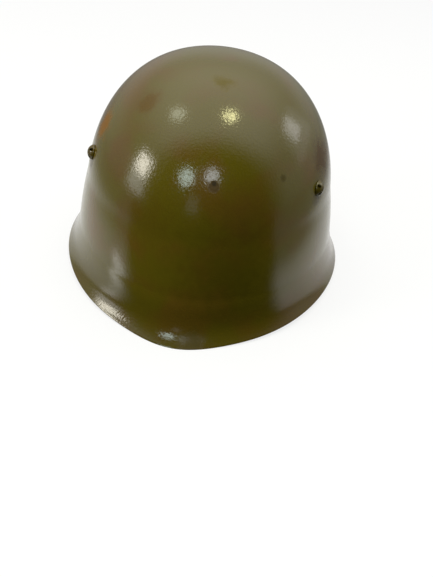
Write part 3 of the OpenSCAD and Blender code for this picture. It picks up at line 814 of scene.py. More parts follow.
@dataclass(frozen=True)
class Studio:
    """A white floor in a pale room, with windows, bulbs, a bright ceiling and a dark corner at the camera.

    Four numbers are a fade: where it starts and ends, and its value at both. Only each edge of the painted
    shade on the floor is a place on the floor and the way inwards.
    """

    floor: float = 8.0
    floor_white: float = 0.9
    corner_way: tuple[float, float, float] = (0.174, -0.985, 0.0)
    corner: Four = (0.15, 0.58, 1.0, 0.0)
    walls: Four = (0.0, 0.25, 0.325, 0.5)
    ceiling: Four = (0.4, 0.95, 0.0, 1.2)
    mirrored: float = 0.1
    share: float = 0.75
    # Painted shade on the floor, seen only by reflections and bounced light: its edges, how soft they are,
    # and fades that darken it farther out.
    cloth: tuple[Four, ...] = ((-0.133, -0.160, 0.407, -0.914), (0.166, -0.119, -0.278, -0.960))
    cloth_edge: tuple[float, float] = (-0.015, 0.02)
    far: Four = (0.18, 0.5, 1.0, 0.28)
    darker_way: tuple[float, float] = (0.8, -0.6)
    darker: Four = (0.15, 0.3, 0.0, 0.13)
    # A painted highlight on the floor, seen only in reflections: where it lies, how it is squeezed across,
    # and its fade.
    gleam_at: tuple[float, float] = (-0.0435, -0.139)
    gleam_width: float = 0.3
    gleam: Four = (0.003, 0.019, 3.3, 0.0)
    lamps: tuple[Softbox, ...] = (
        Softbox("left_window", -63, 22, 0.34, 0.32, 12.0, "#fff8e6"),
        Softbox("left_curtain", -63, 17, 0.48, 0.72, 2.4),
        Softbox("right_window", 119, 30, 0.34, 0.38, 2.5),
        Softbox("right_curtain", 120, 24, 0.80, 0.60, 0.4),
        Softbox("front_bulb_left", -16, 33, 0.33, 0.33, 8.5, "#e4fbf6", round_shape=True),
        Softbox("front_bulb_right", 11, 37, 0.30, 0.30, 7.5, "#f0fbff", round_shape=True),
        Softbox("front_gleam", -5, 14, 0.24, 0.30, 0.7, "#f0fbff"),
        Softbox("warm_bulb", 97, 79, 0.24, 0.24, 19.0, "#fffab8", round_shape=True),
        Softbox("faint_bulb", -87, 63, 0.30, 0.30, 4.5, "#f8ffe6", round_shape=True),
    )

    def build(self) -> None:
        """Makes the lamps, the world and the floor."""
        for lamp in self.lamps:
            lamp.build()
        self.world()
        self.ground()

    @staticmethod
    def rays(tree: Tree) -> tuple[Field, Field]:
        """Tells rays apart.

        Args:
            tree: the node tree.

        Returns:
            1 for rays from the camera, and 1 for rays that were mirrored or went through something.
        """
        path = add_node(tree, "ShaderNodeLightPath").outputs
        kinds = "Camera", "Glossy", "Transmission"
        camera, glossy, through = (Field(path[f"Is {kind} Ray"]) for kind in kinds)
        return camera, glossy + through

    def world(self) -> None:
        """Makes the room: white to the camera, pale walls, a bright ceiling, dark behind the camera."""
        made = bpy.data.worlds.new("room")
        bpy.context.scene.world = made
        made.use_nodes = True
        tree = made.node_tree
        tree.nodes.clear()
        way = add_node(tree, "ShaderNodeTexCoord").outputs["Generated"]
        up = Field(add_node(tree, "ShaderNodeSeparateXYZ", {0: way}).outputs[2])
        ahead = add_node(tree, "ShaderNodeVectorMath", {0: way, 1: self.corner_way}, operation="DOT_PRODUCT")
        lit = fade(Field(ahead.outputs["Value"]), *self.corner)
        room = (fade(up, *self.ceiling) + fade(up, *self.walls)) * lit
        camera, mirrored = self.rays(tree)
        seen = camera + mirrored * lit * self.mirrored
        strength = seen * (1.0 - room) + room
        shown = add_node(tree, "ShaderNodeBackground", {"Color": WHITE, "Strength": strength})
        add_node(tree, "ShaderNodeOutputWorld", {"Surface": shown})

    def ground(self) -> None:
        """Makes the floor: white with the helmet's shadow to the camera; painted shade and glow to the paint.
        """
        half = self.floor / 2
        corners = np.array([(-half, -half, 0), (half, -half, 0), (half, half, 0), (-half, half, 0)])
        obj = mesh_object("floor", corners, [(0, 1, 2, 3)])
        made = bpy.data.materials.new("white_floor")
        made.use_nodes = True
        tree = made.node_tree
        tree.nodes.clear()
        place = add_node(tree, "ShaderNodeTexCoord").outputs["Object"]
        x, y = (Field(part) for part in add_node(tree, "ShaderNodeSeparateXYZ", {0: place}).outputs[:2])
        # Painted shade: to reflections and bounced light the floor is dark in front, on the camera's side,
        # and darker farther out.
        sides = [
            fade((x - at_x) * across + (y - at_y) * along, *self.cloth_edge)
            for at_x, at_y, across, along in self.cloth
        ]
        reach = np.sqrt(x * x + y * y) + fade(x * self.darker_way[0] + y * self.darker_way[1], *self.darker)
        lit = (1.0 - math.prod(sides)) * fade(reach, *self.far)
        # Painted highlight: a glowing patch on the floor, where no lamp is, that reflections see as the left
        # window mirrored in the floor.
        off_x, off_y = x * self.gleam_width - self.gleam_at[0], y - self.gleam_at[1]
        gleam = fade(np.sqrt(off_x * off_x + off_y * off_y), *self.gleam)
        camera, mirrored = self.rays(tree)
        level = camera + (1.0 - camera) * lit
        matt = add_node(tree, "ShaderNodeBsdfDiffuse", {"Color": level * self.floor_white})
        strength = level + (1.0 - camera) * gleam
        glow = add_node(tree, "ShaderNodeEmission", {"Color": WHITE, "Strength": strength})
        parts = {0: (camera + mirrored) * self.share, 1: matt, 2: glow}
        mixed = add_node(tree, "ShaderNodeMixShader", parts)
        add_node(tree, "ShaderNodeOutputMaterial", {"Surface": mixed})
        obj.data.materials.append(made)


def label(name: str) -> str:
    """Turns a size's name into the name of a node input."""
    return name.replace("_", " ").capitalize()


def new_tree(
    name: str, inputs: dict[str, tuple[str, float | None]]
) -> tuple[Tree, bpy.types.bpy_prop_collection]:
    """Starts a Geometry Nodes tree that has one geometry output.

    Args:
        name: its name.
        inputs: the kind of socket and the default value of each named input.

    Returns:
        The tree, and the sockets that give its inputs.
    """
    tree = bpy.data.node_groups.new(name, "GeometryNodeTree")
    for title, (kind, value) in inputs.items():
        socket = tree.interface.new_socket(title, in_out="INPUT", socket_type=f"NodeSocket{kind}")
        if value is not None:
            socket.default_value = value
    tree.interface.new_socket("Geometry", in_out="OUTPUT", socket_type="NodeSocketGeometry")
    return tree, add_node(tree, "NodeGroupInput").outputs


def end_tree(tree: Tree, geometry: Value, finish: Value) -> Tree:
    """Ends a Geometry Nodes tree: makes its instances real and gives them their material.

    Args:
        tree: the tree.
        geometry: what it has made.
        finish: the material.

    Returns:
        The tree.
    """
    real = add_node(tree, "GeometryNodeRealizeInstances", {"Geometry": geometry})
    dressed = add_node(tree, "GeometryNodeSetMaterial", {"Geometry": real, "Material": finish})
    add_node(tree, "NodeGroupOutput", {0: dressed})
    return tree


def grow(obj: Obj, tree: Tree, values: dict[str, Value]) -> None:
    """Turns an object's mesh into what a Geometry Nodes tree makes of it.

    Args:
        obj: the object.
        tree: the tree.
        values: what its inputs get, by their names. The others keep their defaults.
    """
    made = obj.modifiers.new(tree.name, "NODES")
    made.node_group = tree
    for item in tree.interface.items_tree:
        if item.item_type == "SOCKET" and item.in_out == "INPUT" and item.name in values:
            made[item.identifier] = values[item.name]
    settle(obj)


@dataclass(frozen=True)
class Shell:
    """The pressed shell, whose surface Geometry Nodes work out from its sizes."""

    sizes: ShellSizes = ShellSizes()
    thickness: float = 1.2 * MM
    columns: int = 288
    rows: int = 96
    skirt_share: float = 0.34
    weld: float = 0.002 * MM
    edge_round: float = 0.3 * MM

    def tree(self) -> Tree:
        """Makes the tree: a grid laid on the rule's surface, thickened inwards with its rim cut level.

        Returns:
            The tree.
        """
        named = {f.name: getattr(self.sizes, f.name) for f in fields(self.sizes)}
        named |= {"thickness": self.thickness, "crown_y": SURFACE.crown_y}
        kinds = {label(name): ("Float", value) for name, value in named.items()}
        tree, given = new_tree("pressed_shell", {"Geometry": ("Geometry", None)} | kinds)
        number = {name: Field(given[label(name)]) for name in named}
        thickness, crown_y = number.pop("thickness"), number.pop("crown_y")
        sizes = ShellSizes(**number)
        count = {"Vertices X": self.columns + 1, "Vertices Y": self.rows + 1}
        grid = add_node(tree, "GeometryNodeMeshGrid", {"Size X": 1.0, "Size Y": 1.0} | count)
        spot = add_node(tree, "GeometryNodeInputPosition")
        place = add_node(tree, "ShaderNodeSeparateXYZ", {0: spot}).outputs
        around, row = Field(place[0]) * (2 * math.pi), Field(place[1]) + 0.5
        skirt = np.minimum(row / self.skirt_share - 1.0, 0.0)
        dome = np.maximum((row - self.skirt_share) / (1 - self.skirt_share), 0.0)
        x, y, z = sizes.skin(around, skirt + dome)
        rim = {"Geometry": grid, "Name": "rim", "Value": sizes.rim(around)}
        kept = add_node(tree, "GeometryNodeStoreNamedAttribute", rim, data_type="FLOAT", domain="POINT")
        spot = add_node(tree, "ShaderNodeCombineXYZ", {0: x, 1: y + crown_y, 2: z})
        laid = add_node(tree, "GeometryNodeSetPosition", {"Geometry": kept, "Position": spot})
        outer = add_node(tree, "GeometryNodeMergeByDistance", {"Geometry": laid, "Distance": self.weld})
        offset = {"Mesh": outer, "Offset Scale": thickness * -1.0, "Individual": False}
        inner = add_node(tree, "GeometryNodeExtrudeMesh", offset, mode="FACES")
        both = add_node(tree, "GeometryNodeJoinGeometry", {0: outer})
        fill(both, {0: add_node(tree, "GeometryNodeFlipFaces", {"Mesh": inner})})
        closed = add_node(tree, "GeometryNodeMergeByDistance", {"Geometry": both, "Distance": self.weld})
        edge = Field(add_node(tree, "GeometryNodeInputNamedAttribute", {"Name": "rim"}, data_type="FLOAT"))
        level = {0: place[0], 1: place[1], 2: np.maximum(Field(place[2]), edge)}
        level = add_node(tree, "ShaderNodeCombineXYZ", level)
        trimmed = add_node(tree, "GeometryNodeSetPosition", {"Geometry": closed, "Position": level})
        return end_tree(tree, trimmed, FINISHES["olive_paint"].material())

    def build(self) -> None:
        """Makes the shell's piece."""
        obj = mesh_object("painted_shell", np.zeros((1, 3)), [])
        grow(obj, self.tree(), {})
        bevelled(obj, self.edge_round, 55.0)
        hand_over(obj, "helmet", "shell", "olive_paint", 50.0)


def arc(middle: tuple[float, float], radius: float, start: float, end: float, steps: int) -> np.ndarray:
    """Gives points of an arc.

    Args:
        middle: its middle.
        radius: its radius.
        start: the angle at which it starts, in degrees.
        end: the angle at which it ends.
        steps: how many steps it has.

    Returns:
        Its points, one more than its steps.
    """
    angles = np.radians(np.linspace(start, end, steps + 1))
    return np.stack([middle[0] + radius * np.cos(angles), middle[1] + radius * np.sin(angles)], -1)


def circle(diameter: float) -> np.ndarray:
    """Gives the 24 points of a round hole or wire."""
    return arc((0, 0), diameter / 2, 0, 345, 23)


def seat_frame(origin: Sequence[float], along: Sequence[float], out: Sequence[float]) -> Matrix:
    """Gives the frame of a place.

    Args:
        origin: the place.
        along: what its +X is as near to as it can be.
        out: the way of its +Z.

    Returns:
        The frame.
    """
    z = Vector(out).normalized()
    y = z.cross(Vector(along)).normalized()
    return Matrix.Translation(Vector(origin)) @ Matrix((y.cross(z), y, z)).transposed().to_4x4()


def on_shell(around: float, z: float, depth: float) -> Matrix:
    """Gives the frame of a place at a depth behind the shell's surface.

    Args:
        around: the angle from the brow, in degrees.
        z: the height of the surface there.
        depth: how far behind the surface the place lies.

    Returns:
        Its frame, with +Z outwards and +X down the shell.
    """
    turn, up = math.radians(around), SURFACE.up_at(z)
    out = Vector(SURFACE.out(turn, up))
    return seat_frame(SURFACE.inset(turn, up, depth), Vector((-out.y, out.x, 0.0)).cross(out), out)


def split_seats(depth: float) -> list[Matrix]:
    """Gives the frames of the split rivets' places at a depth behind the shell's surface."""
    return [on_shell(around, BAND_Z, depth) for around in SPLITS]


def prisms(name: str, outline: np.ndarray, low: float, high: float, seats: Sequence[Matrix]) -> Obj:
    """Makes prisms of one outline, along the Z axes of some places.

    Args:
        name: the object's name.
        outline: the outline's points, anticlockwise.
        low: where a prism starts on its Z axis.
        high: where it ends.
        seats: the places.

    Returns:
        The object with all the prisms.
    """
    points = [seat @ Vector((x, y, z)) for seat in seats for z in (low, high) for x, y in outline]
    faces = []
    for ends in np.arange(len(points)).reshape(-1, 2, len(outline)):
        faces += [ends[0][::-1], ends[1], *quads(np.pad(ends, ((0, 0), (0, 1)), "wrap"))]
    return mesh_object(name, np.array(points), faces)


def drill(obj: Obj, seats: Sequence[Matrix], diameter: float, reach: float = DRILL_REACH) -> None:
    """Drills round holes through an object along the Z axes of some places, in one cut."""
    cut(obj, prisms("drill", circle(diameter), -reach, reach, seats))


def strip_section(width: float, thickness: float, corner: float, crease: float = 0.0) -> np.ndarray:
    """Gives the rounded section of a strip.

    Args:
        width: its width.
        thickness: its thickness.
        corner: the radius of its corners.
        crease: how far from each edge a pressed line runs on both faces, or 0 for none.

    Returns:
        Points across and up, anticlockwise.
    """
    x, z = width / 2 - corner, thickness / 2 - corner
    line, half, dip = width / 2 - crease, 0.45 * MM, 0.22 * MM
    right = [(line + half, 0), (line, dip), (line - half, 0)]
    marks = [*right, *((-a, b) for a, b in reversed(right))]
    face = np.array([(a, thickness / 2 - b) for a, b in marks] if crease else np.zeros((0, 2)))
    upper = np.concatenate([arc((x, z), corner, 0, 90, 3), face, arc((-x, z), corner, 90, 180, 3)])
    return np.concatenate([upper, -upper])


def in_plane(line: np.ndarray) -> np.ndarray:
    """Lays a line of (x, z) points in the XZ plane."""
    return np.insert(line, 1, 0.0, axis=1)


def tipped(count: int) -> np.ndarray:
    """Gives the shares of a width at the points of a line whose end is blunt and rounded."""
    return np.concatenate([np.ones(count - len(TIP_SHARES)), TIP_SHARES])


def sweep(
    name: str,
    path: np.ndarray,
    section: np.ndarray,
    wide: np.ndarray | float = 1.0,
    thick: np.ndarray | float = 1.0,
    across: np.ndarray | Sequence[float] = (0.0, 1.0, 0.0),
) -> Obj:
    """Sweeps a section along a path and closes its ends.

    Args:
        name: the object's name.
        path: the path's points.
        section: the section's points, across and up.
        wide: the share of its width at each point.
        thick: the share of its thickness at each point.
        across: the direction of the section's width, one for all points or each its own.

    Returns:
        The swept solid's object.
    """
    way = np.gradient(path, axis=0)
    way /= np.linalg.norm(way, axis=1, keepdims=True)
    across = np.asarray(across) - np.sum(across * way, 1, keepdims=True) * way
    across /= np.linalg.norm(across, axis=1, keepdims=True)
    rings = path[:, None]
    for direction, part, share in zip((across, np.cross(way, across)), section.T, (wide, thick), strict=True):
        rings = rings + direction[:, None] * part[:, None] * np.broadcast_to(share, len(path))[:, None, None]
    number = np.arange(len(path) * len(section)).reshape(len(path), -1)
    sides = quads(np.pad(number, ((0, 0), (0, 1)), "wrap"))
    obj = mesh_object(name, rings, [*sides, number[0][::-1], number[-1]])
    clean(obj.data)
    return obj


def joined(name: str, *parts: Obj) -> Obj:
    """Joins the meshes of some objects into one new object.

    Args:
        name: the new object's name.
        parts: the objects, which are removed.

    Returns:
        The new object.
    """
    work = bmesh.new()
    for part in parts:
        work.from_mesh(part.data)
        bpy.data.objects.remove(part)
    obj = mesh_object(name, np.zeros((0, 3)), [])
    work.to_mesh(obj.data)
    work.free()
    return obj


@dataclass(frozen=True)
class FastenerSet:
    """Copies of one fastener that Geometry Nodes set on their places, each turned to its own."""

    name: str
    node: str
    places: Sequence[Matrix]
    body: str = "helmet"
    size: float = 1.0
    slot: str = "rivet_steel"

    def tree(self) -> Tree:
        """Gives the tree, made once: instances on points, aligned to each point's two directions.

        Returns:
            The tree.
        """
        known = bpy.data.node_groups.get("fasteners_on_places")
        if known:
            return known
        kinds = {"Places": ("Geometry", None), "Fastener": ("Object", None), "Finish": ("Material", None)}
        tree, given = new_tree("fasteners_on_places", kinds | {"Size": ("Float", 1.0)})
        turned = {}
        for name, settings in (("out", {"axis": "Z"}), ("down", {"axis": "X", "pivot_axis": "Z"})):
            named = {"Name": name}
            way = add_node(tree, "GeometryNodeInputNamedAttribute", named, data_type="FLOAT_VECTOR")
            inputs = {"Vector": way} | turned
            turned = {"Rotation": add_node(tree, "FunctionNodeAlignRotationToVector", inputs, **settings)}
        shape = add_node(tree, "GeometryNodeObjectInfo", {"Object": given["Fastener"], "As Instance": True})
        inputs = {"Points": given["Places"], "Instance": shape.outputs["Geometry"], "Scale": given["Size"]}
        copies = add_node(tree, "GeometryNodeInstanceOnPoints", inputs | turned)
        return end_tree(tree, copies, given["Finish"])

    def build(self, fastener: Obj) -> None:
        """Makes the set's piece.

        Args:
            fastener: the fastener at the origin, its head towards +Z. It is removed.
        """
        obj = mesh_object(self.name, np.array([seat.translation for seat in self.places]), [])
        for name, column in (("out", 2), ("down", 0)):
            kept = obj.data.attributes.new(name, "FLOAT_VECTOR", "POINT")
            kept.data.foreach_set("vector", [v for seat in self.places for v in seat.col[column][:3]])
        finish = FINISHES[self.slot].material()
        grow(obj, self.tree(), {"Fastener": fastener, "Finish": finish, "Size": self.size})
        bpy.data.objects.remove(fastener)
        hand_over(obj, self.body, self.node, self.slot)


@dataclass(frozen=True)
class BentLoop:
    """A closed rectangle bent from wire or strip by Geometry Nodes: its sizes are at its middle line."""

    name: str
    slot: str
    width: float
    height: float
    corner: float
    section_width: float
    section_height: float
    section_corner: float

    @classmethod
    def of_wire(cls, name: str, width: float, height: float, corner: float, wire_d: float) -> "BentLoop":
        """Gives a loop of round steel wire."""
        return cls(name, "rivet_steel", width, height, corner, wire_d, wire_d, wire_d / 2 - WELD)

    @property
    def sizes(self) -> dict[str, float]:
        """The sizes, by the names of the tree's inputs."""
        return {label(f.name): getattr(self, f.name) for f in fields(self)[2:]}

    def tree(self) -> Tree:
        """Gives the tree, made once: a filleted rectangle with a filleted section swept along it.

        Returns:
            The tree.
        """
        known = bpy.data.node_groups.get("bent_loop")
        if known:
            return known
        kinds = {"Geometry": ("Geometry", None), "Finish": ("Material", None)}
        tree, given = new_tree("bent_loop", kinds | {name: ("Float", MM) for name in self.sizes})
        names, lines = list(self.sizes), []
        for wide, high, corner, count in ((*names[:3], 8), (*names[3:], 6)):
            inputs = {"Width": given[wide], "Height": given[high]}
            box = add_node(tree, "GeometryNodeCurvePrimitiveQuadrilateral", inputs)
            inputs = {"Curve": box, "Count": count, "Radius": given[corner], "Limit Radius": True}
            lines.append(add_node(tree, "GeometryNodeFilletCurve", inputs, mode="POLY"))
        swept = add_node(tree, "GeometryNodeCurveToMesh", {"Curve": lines[0], "Profile Curve": lines[1]})
        return end_tree(tree, swept, given["Finish"])

    def build(self, body: str, node: str, seat: Matrix) -> None:
        """Makes the loop's piece in the XY plane of a place.

        Args:
            body: the body that it rides on.
            node: the CAD node that it stands for.
            seat: the place, with the loop's middle as its origin.
        """
        obj = mesh_object(self.name, np.zeros((1, 3)), [])
        grow(obj, self.tree(), {"Finish": FINISHES[self.slot].material()} | self.sizes)
        clean(obj.data)
        hand_over(placed(obj, seat), body, node, self.slot)


def cap_radius(width: float, rise: float) -> float:
    """Gives the radius of the sphere whose cap has a width and a rise."""
    return (width * width / 4 + rise * rise) / (2 * rise)


def broken(radius: float, high: float, low: float, soft: float) -> list[tuple[float, float]]:
    """Gives a flange's outer edge from top to bottom, with both its corners broken.

    Args:
        radius: the flange's radius.
        high: the height of its upper face.
        low: the height of its lower face.
        soft: the size of its broken corners.

    Returns:
        Four points as radius and height.
    """
    return [(radius - soft, high), (radius, high - soft), (radius, low + soft), (radius - soft, low)]


def domed_rivet(grip: float, head_d: float = 6 * MM, shank_d: float = 3 * MM, tail_d: float = 5 * MM) -> Obj:
    """Makes a small rivet at the origin, its domed head on z = 0 and its closed end past the grip.

    Args:
        grip: how thick what it holds together is.
        head_d: its head's diameter.
        shank_d: its shank's diameter.
        tail_d: its closed end's diameter.

    Returns:
        The rivet's object.
    """
    head_h, edge, tail_t, soft, fine = 1.5 * MM, 0.3 * MM, 0.8 * MM, 0.2 * MM, 0.1 * MM
    radius = cap_radius(head_d, head_h - edge)
    lowest = math.degrees(math.asin((edge - head_h + radius) / radius))
    dome = arc((0, head_h - radius), radius, 90, lowest, 8)
    neck = [(head_d / 2, fine), (head_d / 2 - fine, 0), (shank_d / 2, 0), (shank_d / 2, -grip)]
    tail = -grip - tail_t
    return lathe("domed_rivet", [*dome, *neck, *broken(tail_d / 2, -grip, tail, soft), (0, tail)], 24)


@dataclass(frozen=True)
class Layers:
    """Depths below the shell's outer surface at which the inner pieces lie, one behind the other."""

    seat: float = 0.15 * MM
    curve_gap: float = 0.6 * MM
    shell_t: float = 1.2 * MM
    arm_gap: float = 8 * MM
    arm_t: float = 1.2 * MM
    band_t: float = 1.0 * MM
    felt_gap: float = 1.1 * MM
    felt_t: float = 4.0 * MM
    leather_gap: float = 0.3 * MM
    leather_t: float = 2.0 * MM
    crown_room: float = 25 * MM

    @property
    def arm(self) -> float:
        """Depth of the band arms."""
        return self.shell_t + self.arm_gap

    @property
    def band(self) -> float:
        """Depth of the band."""
        return self.arm + self.arm_t + self.seat

    @property
    def felt(self) -> float:
        """Depth of the felt."""
        return self.band + self.band_t + self.felt_gap

    @property
    def leather(self) -> float:
        """Depth of the leather's ring."""
        return self.felt + self.felt_t + self.leather_gap

    @property
    def tip(self) -> float:
        """Depth of the tongues' tips."""
        return self.shell_t + self.crown_room


LAYERS = Layers()


@dataclass(frozen=True)
class VentRivets:
    """Hollow vent rivets through shell, spacer and band arm, clenched on washers."""

    head_d: float = 11.5 * MM
    head_h: float = 4.0 * MM
    edge: float = 0.6 * MM
    wall: float = 0.9 * MM
    shank_d: float = 6.4 * MM
    bore_d: float = 4.6 * MM
    hole_play: float = 0.1 * MM
    air_d: float = 2.4 * MM
    air_turn: float = 45.0
    air_n: int = 4
    clench_d: float = 9.0 * MM
    clench_t: float = 0.8 * MM
    washer_d: float = 12.0 * MM
    washer_t: float = 1.0 * MM
    spacer_d: float = 11.0 * MM
    soft: float = 0.25 * MM
    tube_soft: float = 0.2 * MM

    @property
    def grip(self) -> float:
        """Depth at which the clenched end starts: behind the arm and its washer."""
        return LAYERS.arm + LAYERS.arm_t + LAYERS.curve_gap + self.washer_t

    def rivet(self, name: str) -> Obj:
        """Makes a vent rivet at the origin: turned section, then the air holes drilled in its flank.

        Args:
            name: the object's name.

        Returns:
            The rivet's object.
        """
        outer = cap_radius(self.head_d, self.head_h - self.edge)
        centre, inner = self.head_h - outer, outer - self.wall
        low = [math.degrees(math.asin((self.edge - centre) / r)) for r in (outer, inner)]
        shank, bore, soft, end = self.shank_d / 2, self.bore_d / 2, self.soft, -self.grip - LAYERS.seat
        tail = end - self.clench_t
        profile = [
            *arc((0.0, centre), outer, 90, low[0], 14),
            (self.head_d / 2, soft),
            (self.head_d / 2 - soft, 0),
            (shank, 0),
            (shank, end),
            *broken(self.clench_d / 2, end, tail, soft),
            (bore + 2 * soft, tail),
            (bore, tail + 2 * soft),
            (bore, self.edge),
            *arc((0.0, centre), inner, low[1], 90, 12),
        ]
        obj = lathe(name, profile, 64)
        height = self.head_h / 2 + self.edge / 6
        holes = []
        for k in range(self.air_n):
            angle = math.radians(self.air_turn) + 2 * math.pi * k / self.air_n
            way = Vector((math.cos(angle), math.sin(angle), 0))
            holes.append(seat_frame(way * (bore / 2 + DRILL_REACH) + Vector((0, 0, height)), (0, 0, 1), way))
        drill(obj, holes, self.air_d)
        return obj

    def tube(self, name: str, outer: float, length: float) -> Obj:
        """Makes a ring or tube round the shank, standing on z = 0, with broken edges.

        Args:
            name: the object's name.
            outer: its diameter.
            length: its length.

        Returns:
            The tube's object.
        """
        r0, r1, soft = self.shank_d / 2 + self.hole_play, outer / 2, self.tube_soft
        foot = [(r1, soft), (r1 - soft, 0), (r0, 0)]
        return lathe(name, [*foot, (r0, length), (r1 - soft, length), (r1, length - soft)])

    def build(self) -> None:
        """Makes the rivets, their spacers and their washers."""
        length = LAYERS.arm_gap - LAYERS.seat - LAYERS.curve_gap
        for side, around in VENTS.items():
            head = placed(self.rivet(f"{side}_hollow_vent_rivet"), on_shell(around, VENT_Z, 0.0))
            hand_over(head, "helmet", f"{side}_vent_rivet", "olive_paint", 40.0)
            foot = on_shell(around, VENT_Z, LAYERS.arm - LAYERS.seat)
            spacer = placed(self.tube(f"{side}_arm_spacer", self.spacer_d, length), foot)
            hand_over(spacer, "helmet", f"{side}_vent_spacer", "band_steel")
        seats = [on_shell(around, VENT_Z, self.grip) for around in VENTS.values()]
        washer = self.tube("washer", self.washer_d, self.washer_t)
        FastenerSet("clench_washers", "vent_washers", seats).build(washer)


@dataclass(frozen=True)
class LinerBand:
    """The sprung steel band, its three arms and its rivets."""

    low: float = 50 * MM
    width: float = 20 * MM
    arm_w: float = 16 * MM
    arm_over: float = 9 * MM
    arm_foot: float = 1 * MM
    foot_round: float = 2 * MM
    foot_share: float = 0.75
    rivet_inset: float = 5 * MM
    hole_d: float = 3.2 * MM
    split_hole_d: float = 2.8 * MM
    vent_hole_d: float = 6.6 * MM
    edge_round: float = 0.25 * MM
    columns: int = 240

    def rivet_seats(self, around: float, depth: float) -> list[Matrix]:
        """Gives the frames of an arm's two rivet places at a depth behind the shell's surface."""
        heights = self.low + self.rivet_inset, self.low + self.width - self.rivet_inset
        return [on_shell(around, z, depth) for z in heights]

    def ring(self, name: str, depth: float, thickness: float, low: float, high: float, rows: int) -> Obj:
        """Makes a ring that follows the shell.

        Args:
            name: the object's name.
            depth: how far behind the shell's surface it lies.
            thickness: its thickness.
            low: the height of the surface at its lower edge.
            high: the height of the surface at its upper edge.
            rows: how many steps it has from edge to edge.

        Returns:
            The ring's object.
        """
        around = np.linspace(-math.pi, math.pi, self.columns, endpoint=False)[None, :]
        up = SURFACE.up_at(np.linspace(low, high, rows + 1))[:, None]
        return plate(name, *(SURFACE.inset(around, up, depth + t) for t in (0.0, thickness)), True)

    def arm(self, name: str, around: float) -> Obj:
        """Makes one arm, with a round upper end and holes for its rivets.

        Args:
            name: the object's name.
            around: the arm's angle from the brow, in degrees.

        Returns:
            The arm's object.
        """
        low, top, end = self.low + self.arm_foot, VENT_Z + self.arm_over, self.arm_w / 2
        rounded = top - end * (1 - np.sin(np.linspace(0.1, 1.5, 12)))
        heights = np.concatenate([np.linspace(low, top - end, 24), rounded])[:, None]
        up, turn = SURFACE.up_at(heights), math.radians(around)
        middle = SURFACE.inset(turn, up, LAYERS.arm)
        radius = np.hypot(middle[..., 0], middle[..., 1] - SURFACE.crown_y)
        foot = self.foot_share + (1 - self.foot_share) * quarter((heights - low) / self.foot_round)
        half = end * quarter((top - heights) / end) * foot / radius
        turns = turn + half * np.linspace(-1, 1, 13)
        obj = plate(name, *(SURFACE.inset(turns, up, LAYERS.arm + t) for t in (0.0, LAYERS.arm_t)), False)
        drill(obj, [on_shell(around, VENT_Z, LAYERS.arm)], self.vent_hole_d)
        drill(obj, self.rivet_seats(around, LAYERS.arm), self.hole_d)
        bevelled(obj, self.edge_round)
        return obj

    def build(self, hanger_seats: Sequence[Matrix]) -> None:
        """Makes the band, its arms and the rivets between them.

        Args:
            hanger_seats: the places of the hangers' rivets, which the band has holes for too.
        """
        high = self.low + self.width
        band = self.ring("sprung_liner_band", LAYERS.band, LAYERS.band_t, self.low, high, 6)
        rivets = [seat for around in VENTS.values() for seat in self.rivet_seats(around, LAYERS.band)]
        drill(band, [*rivets, *hanger_seats], self.hole_d)
        drill(band, split_seats(LAYERS.band), self.split_hole_d)
        bevelled(band, self.edge_round)
        hand_over(band, "helmet", "liner_band", "band_steel")
        for side, around in VENTS.items():
            hand_over(self.arm(f"{side}_spring_arm", around), "helmet", f"{side}_band_arm", "band_steel")
        depth = LAYERS.arm - LAYERS.seat
        seats = [seat for around in VENTS.values() for seat in self.rivet_seats(around, depth)]
        rivet = domed_rivet(LAYERS.arm_t + LAYERS.band_t + 3 * LAYERS.seat)
        FastenerSet("domed_band_rivets", "band_rivets", seats).build(rivet)


